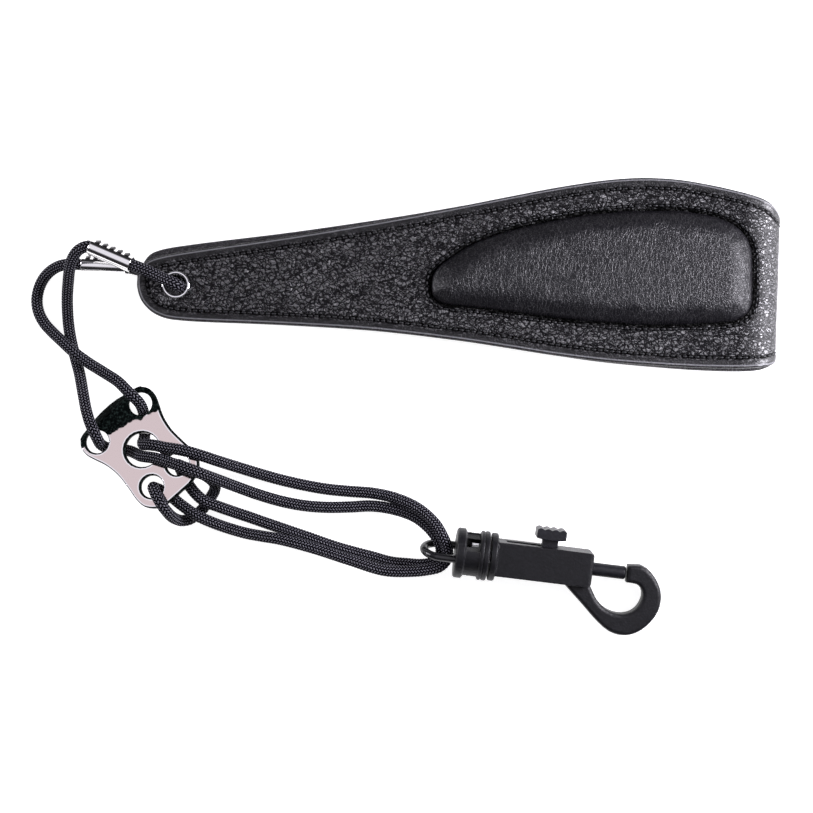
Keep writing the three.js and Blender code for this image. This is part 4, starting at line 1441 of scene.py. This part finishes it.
def moulded(node, name, voxel, rounds, body, slot, material):
    """The CAD node as a moulding: fine, even faces with its edges softened."""
    piece = add_object(name, frame["nodes"][node].data.copy(), material)
    remesh = piece.modifiers.new("remesh", "REMESH")
    remesh.mode = "VOXEL"
    remesh.voxel_size = voxel
    apply_modifiers(piece)
    if node == "swivel_barrel":
        cut_groove(piece.data, along_axis(node)[0])
    soften = piece.modifiers.new("soften", "SMOOTH")
    soften.iterations = rounds
    apply_modifiers(piece)
    settle(piece, body, node)
    return piece


def cut_groove(mesh, face):
    """A ring groove about the hook's axis; face is how far along the axis the mesh starts."""
    points = points_of(mesh)
    along = (points - HOOK_POINT) @ HOOK_AXIS
    out = points - HOOK_POINT - along[:, None] * HOOK_AXIS
    radius = norms(out)
    place, half, depth = GROOVE
    cut = depth * bump_of(1.6 - np.abs(along - face - place) / half) * (radius > GROOVED_RADIUS)
    points -= out / np.maximum(radius, 1e-9)[:, None] * cut[:, None]
    mesh.vertices.foreach_set("co", points.astype(np.float32).ravel())
    mesh.update()


# node: (the piece's name, voxel, rounds of smoothing, body, slot and material)
HOOK_PIECES = {
    "swivel_eye": ("eye_wire", 0.2 * MM, 8, "swivel", "black_wire"),
    "swivel_barrel": ("barrel", 0.16 * MM, 3, "swivel", "hook_plastic"),
    "hook_body": ("hook_moulding", 0.24 * MM, 3, "hook", "hook_plastic"),
    "bolt": ("bolt_rod", 0.18 * MM, 4, "bolt", "bolt_plastic"),
    "thumb_slide": ("thumb_piece", 0.14 * MM, 4, "bolt", "bolt_plastic"),
}
# A groove round the barrel: how far it is from the barrel's face, half its width, and its depth.
GROOVE = (9.75 * MM, 0.22 * MM, 0.35 * MM)
GROOVED_RADIUS = 7.6 * MM


def make_hook(materials):
    for node, (*shape, body, slot) in HOOK_PIECES.items():
        moulded(node, *shape, body, slot, materials[slot])


def make_spring(material):
    """A copy of the CAD spring, which rides the hook."""
    spring = add_object("spring_coil", frame["nodes"]["bolt_spring"].data.copy(), material)
    start, end = along_axis("bolt_spring")
    travel = JOINTS["bolt_slide"]["range_m"][1]
    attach(spring, "hook")
    tuple(HOOK_POINT + HOOK_AXIS * start)
    1 - travel / (end - start)
    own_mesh(spring)
    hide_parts("bolt_spring")


def along_axis(node):
    """How far along the hook's axis the node starts and ends."""
    along = (node_points(node) - HOOK_POINT) @ HOOK_AXIS
    return along.min(), along.max()


def repaint(node, material):
    for slot in frame["nodes"][node].material_slots:
        slot.material = material


# ---- stage


def stage_piece(name, mesh, albedo, glow):
    """A white piece of the studio, which also glows."""
    white = Finish(name, (albedo,) * 3, 0.9, Specular_IOR_Level=0.0)
    white.set("Emission Color", (1.0, 1.0, 1.0, 1.0))
    white.set("Emission Strength", glow)
    piece = add_object(name, mesh, white.material)
    return piece


def make_stage():
    """A white floor, and a white dome that shows behind the object but doesn't light it."""
    corners = [(x * STUDIO_REACH, y * STUDIO_REACH, 0) for x, y in ((-1, -1), (1, -1), (1, 1), (-1, 1))]
    stage_piece("floor", mesh_of("floor", corners, [(0, 1, 2, 3)]), 0.5, 0.9)
    bm = bmesh.new()
    bmesh.ops.create_icosphere(bm, subdivisions=4, radius=STUDIO_REACH - 0.1)
    dome = stage_piece("dome", freed_mesh("dome", bm), 0.0, 1.0)
    dome.visible_diffuse = dome.visible_glossy = dome.visible_shadow = False


def area_light(name, place, target, size, power):
    light = bpy.data.objects.new(name, bpy.data.lights.new(name, "AREA"))
    light.data.shape = "RECTANGLE"
    light.data.size, light.data.size_y = size
    light.data.energy = power
    light.data.color = DAYLIGHT
    light.location = place
    light.rotation_euler = look(place, target)
    link(light)


def make_world():
    """A studio with one broad soft light straight overhead and a dark horizon."""
    world = bpy.data.worlds.new("studio")
    world.use_nodes = True
    tree = world.node_tree
    back = tree.nodes["Background"]
    place = tree.nodes.new("ShaderNodeTexCoord")
    split = tree.nodes.new("ShaderNodeSeparateXYZ")
    tree.links.new(place.outputs["Generated"], split.inputs[0])
    height = Value(tree, split.outputs["Z"])
    glow = height.step(*OVERHEAD_EDGE) * OVERHEAD_GLOW + HORIZON_GLOW
    tree.links.new(glow.socket, back.inputs["Strength"])
    back.inputs["Color"].default_value = (*DAYLIGHT, 1)
    bpy.context.scene.world = world


# ---- the whole scene


def main():
    make_camera()
    materials = make_materials()
    make_cords(materials["cord"])
    make_band(materials)
    make_pads(materials)
    make_stitches(materials["thread"])
    for side in HALF_BODIES:
        make_eyelet(side, materials["nickel"])
        make_crimp(side, materials["crimp_metal"], materials["tooth_metal"])
        repaint("eyelet_washer_" + side, materials["nickel"])
    make_plate(materials["black_nickel"])
    make_hook(materials)
    repaint("swivel_pin", materials["steel"])
    make_spring(materials["steel"])
    make_stage()
    make_world()
    for name, lamp in LAMPS.items():
        area_light(name, *lamp)
    bpy.context.scene.view_settings.view_transform = "Standard"


main()
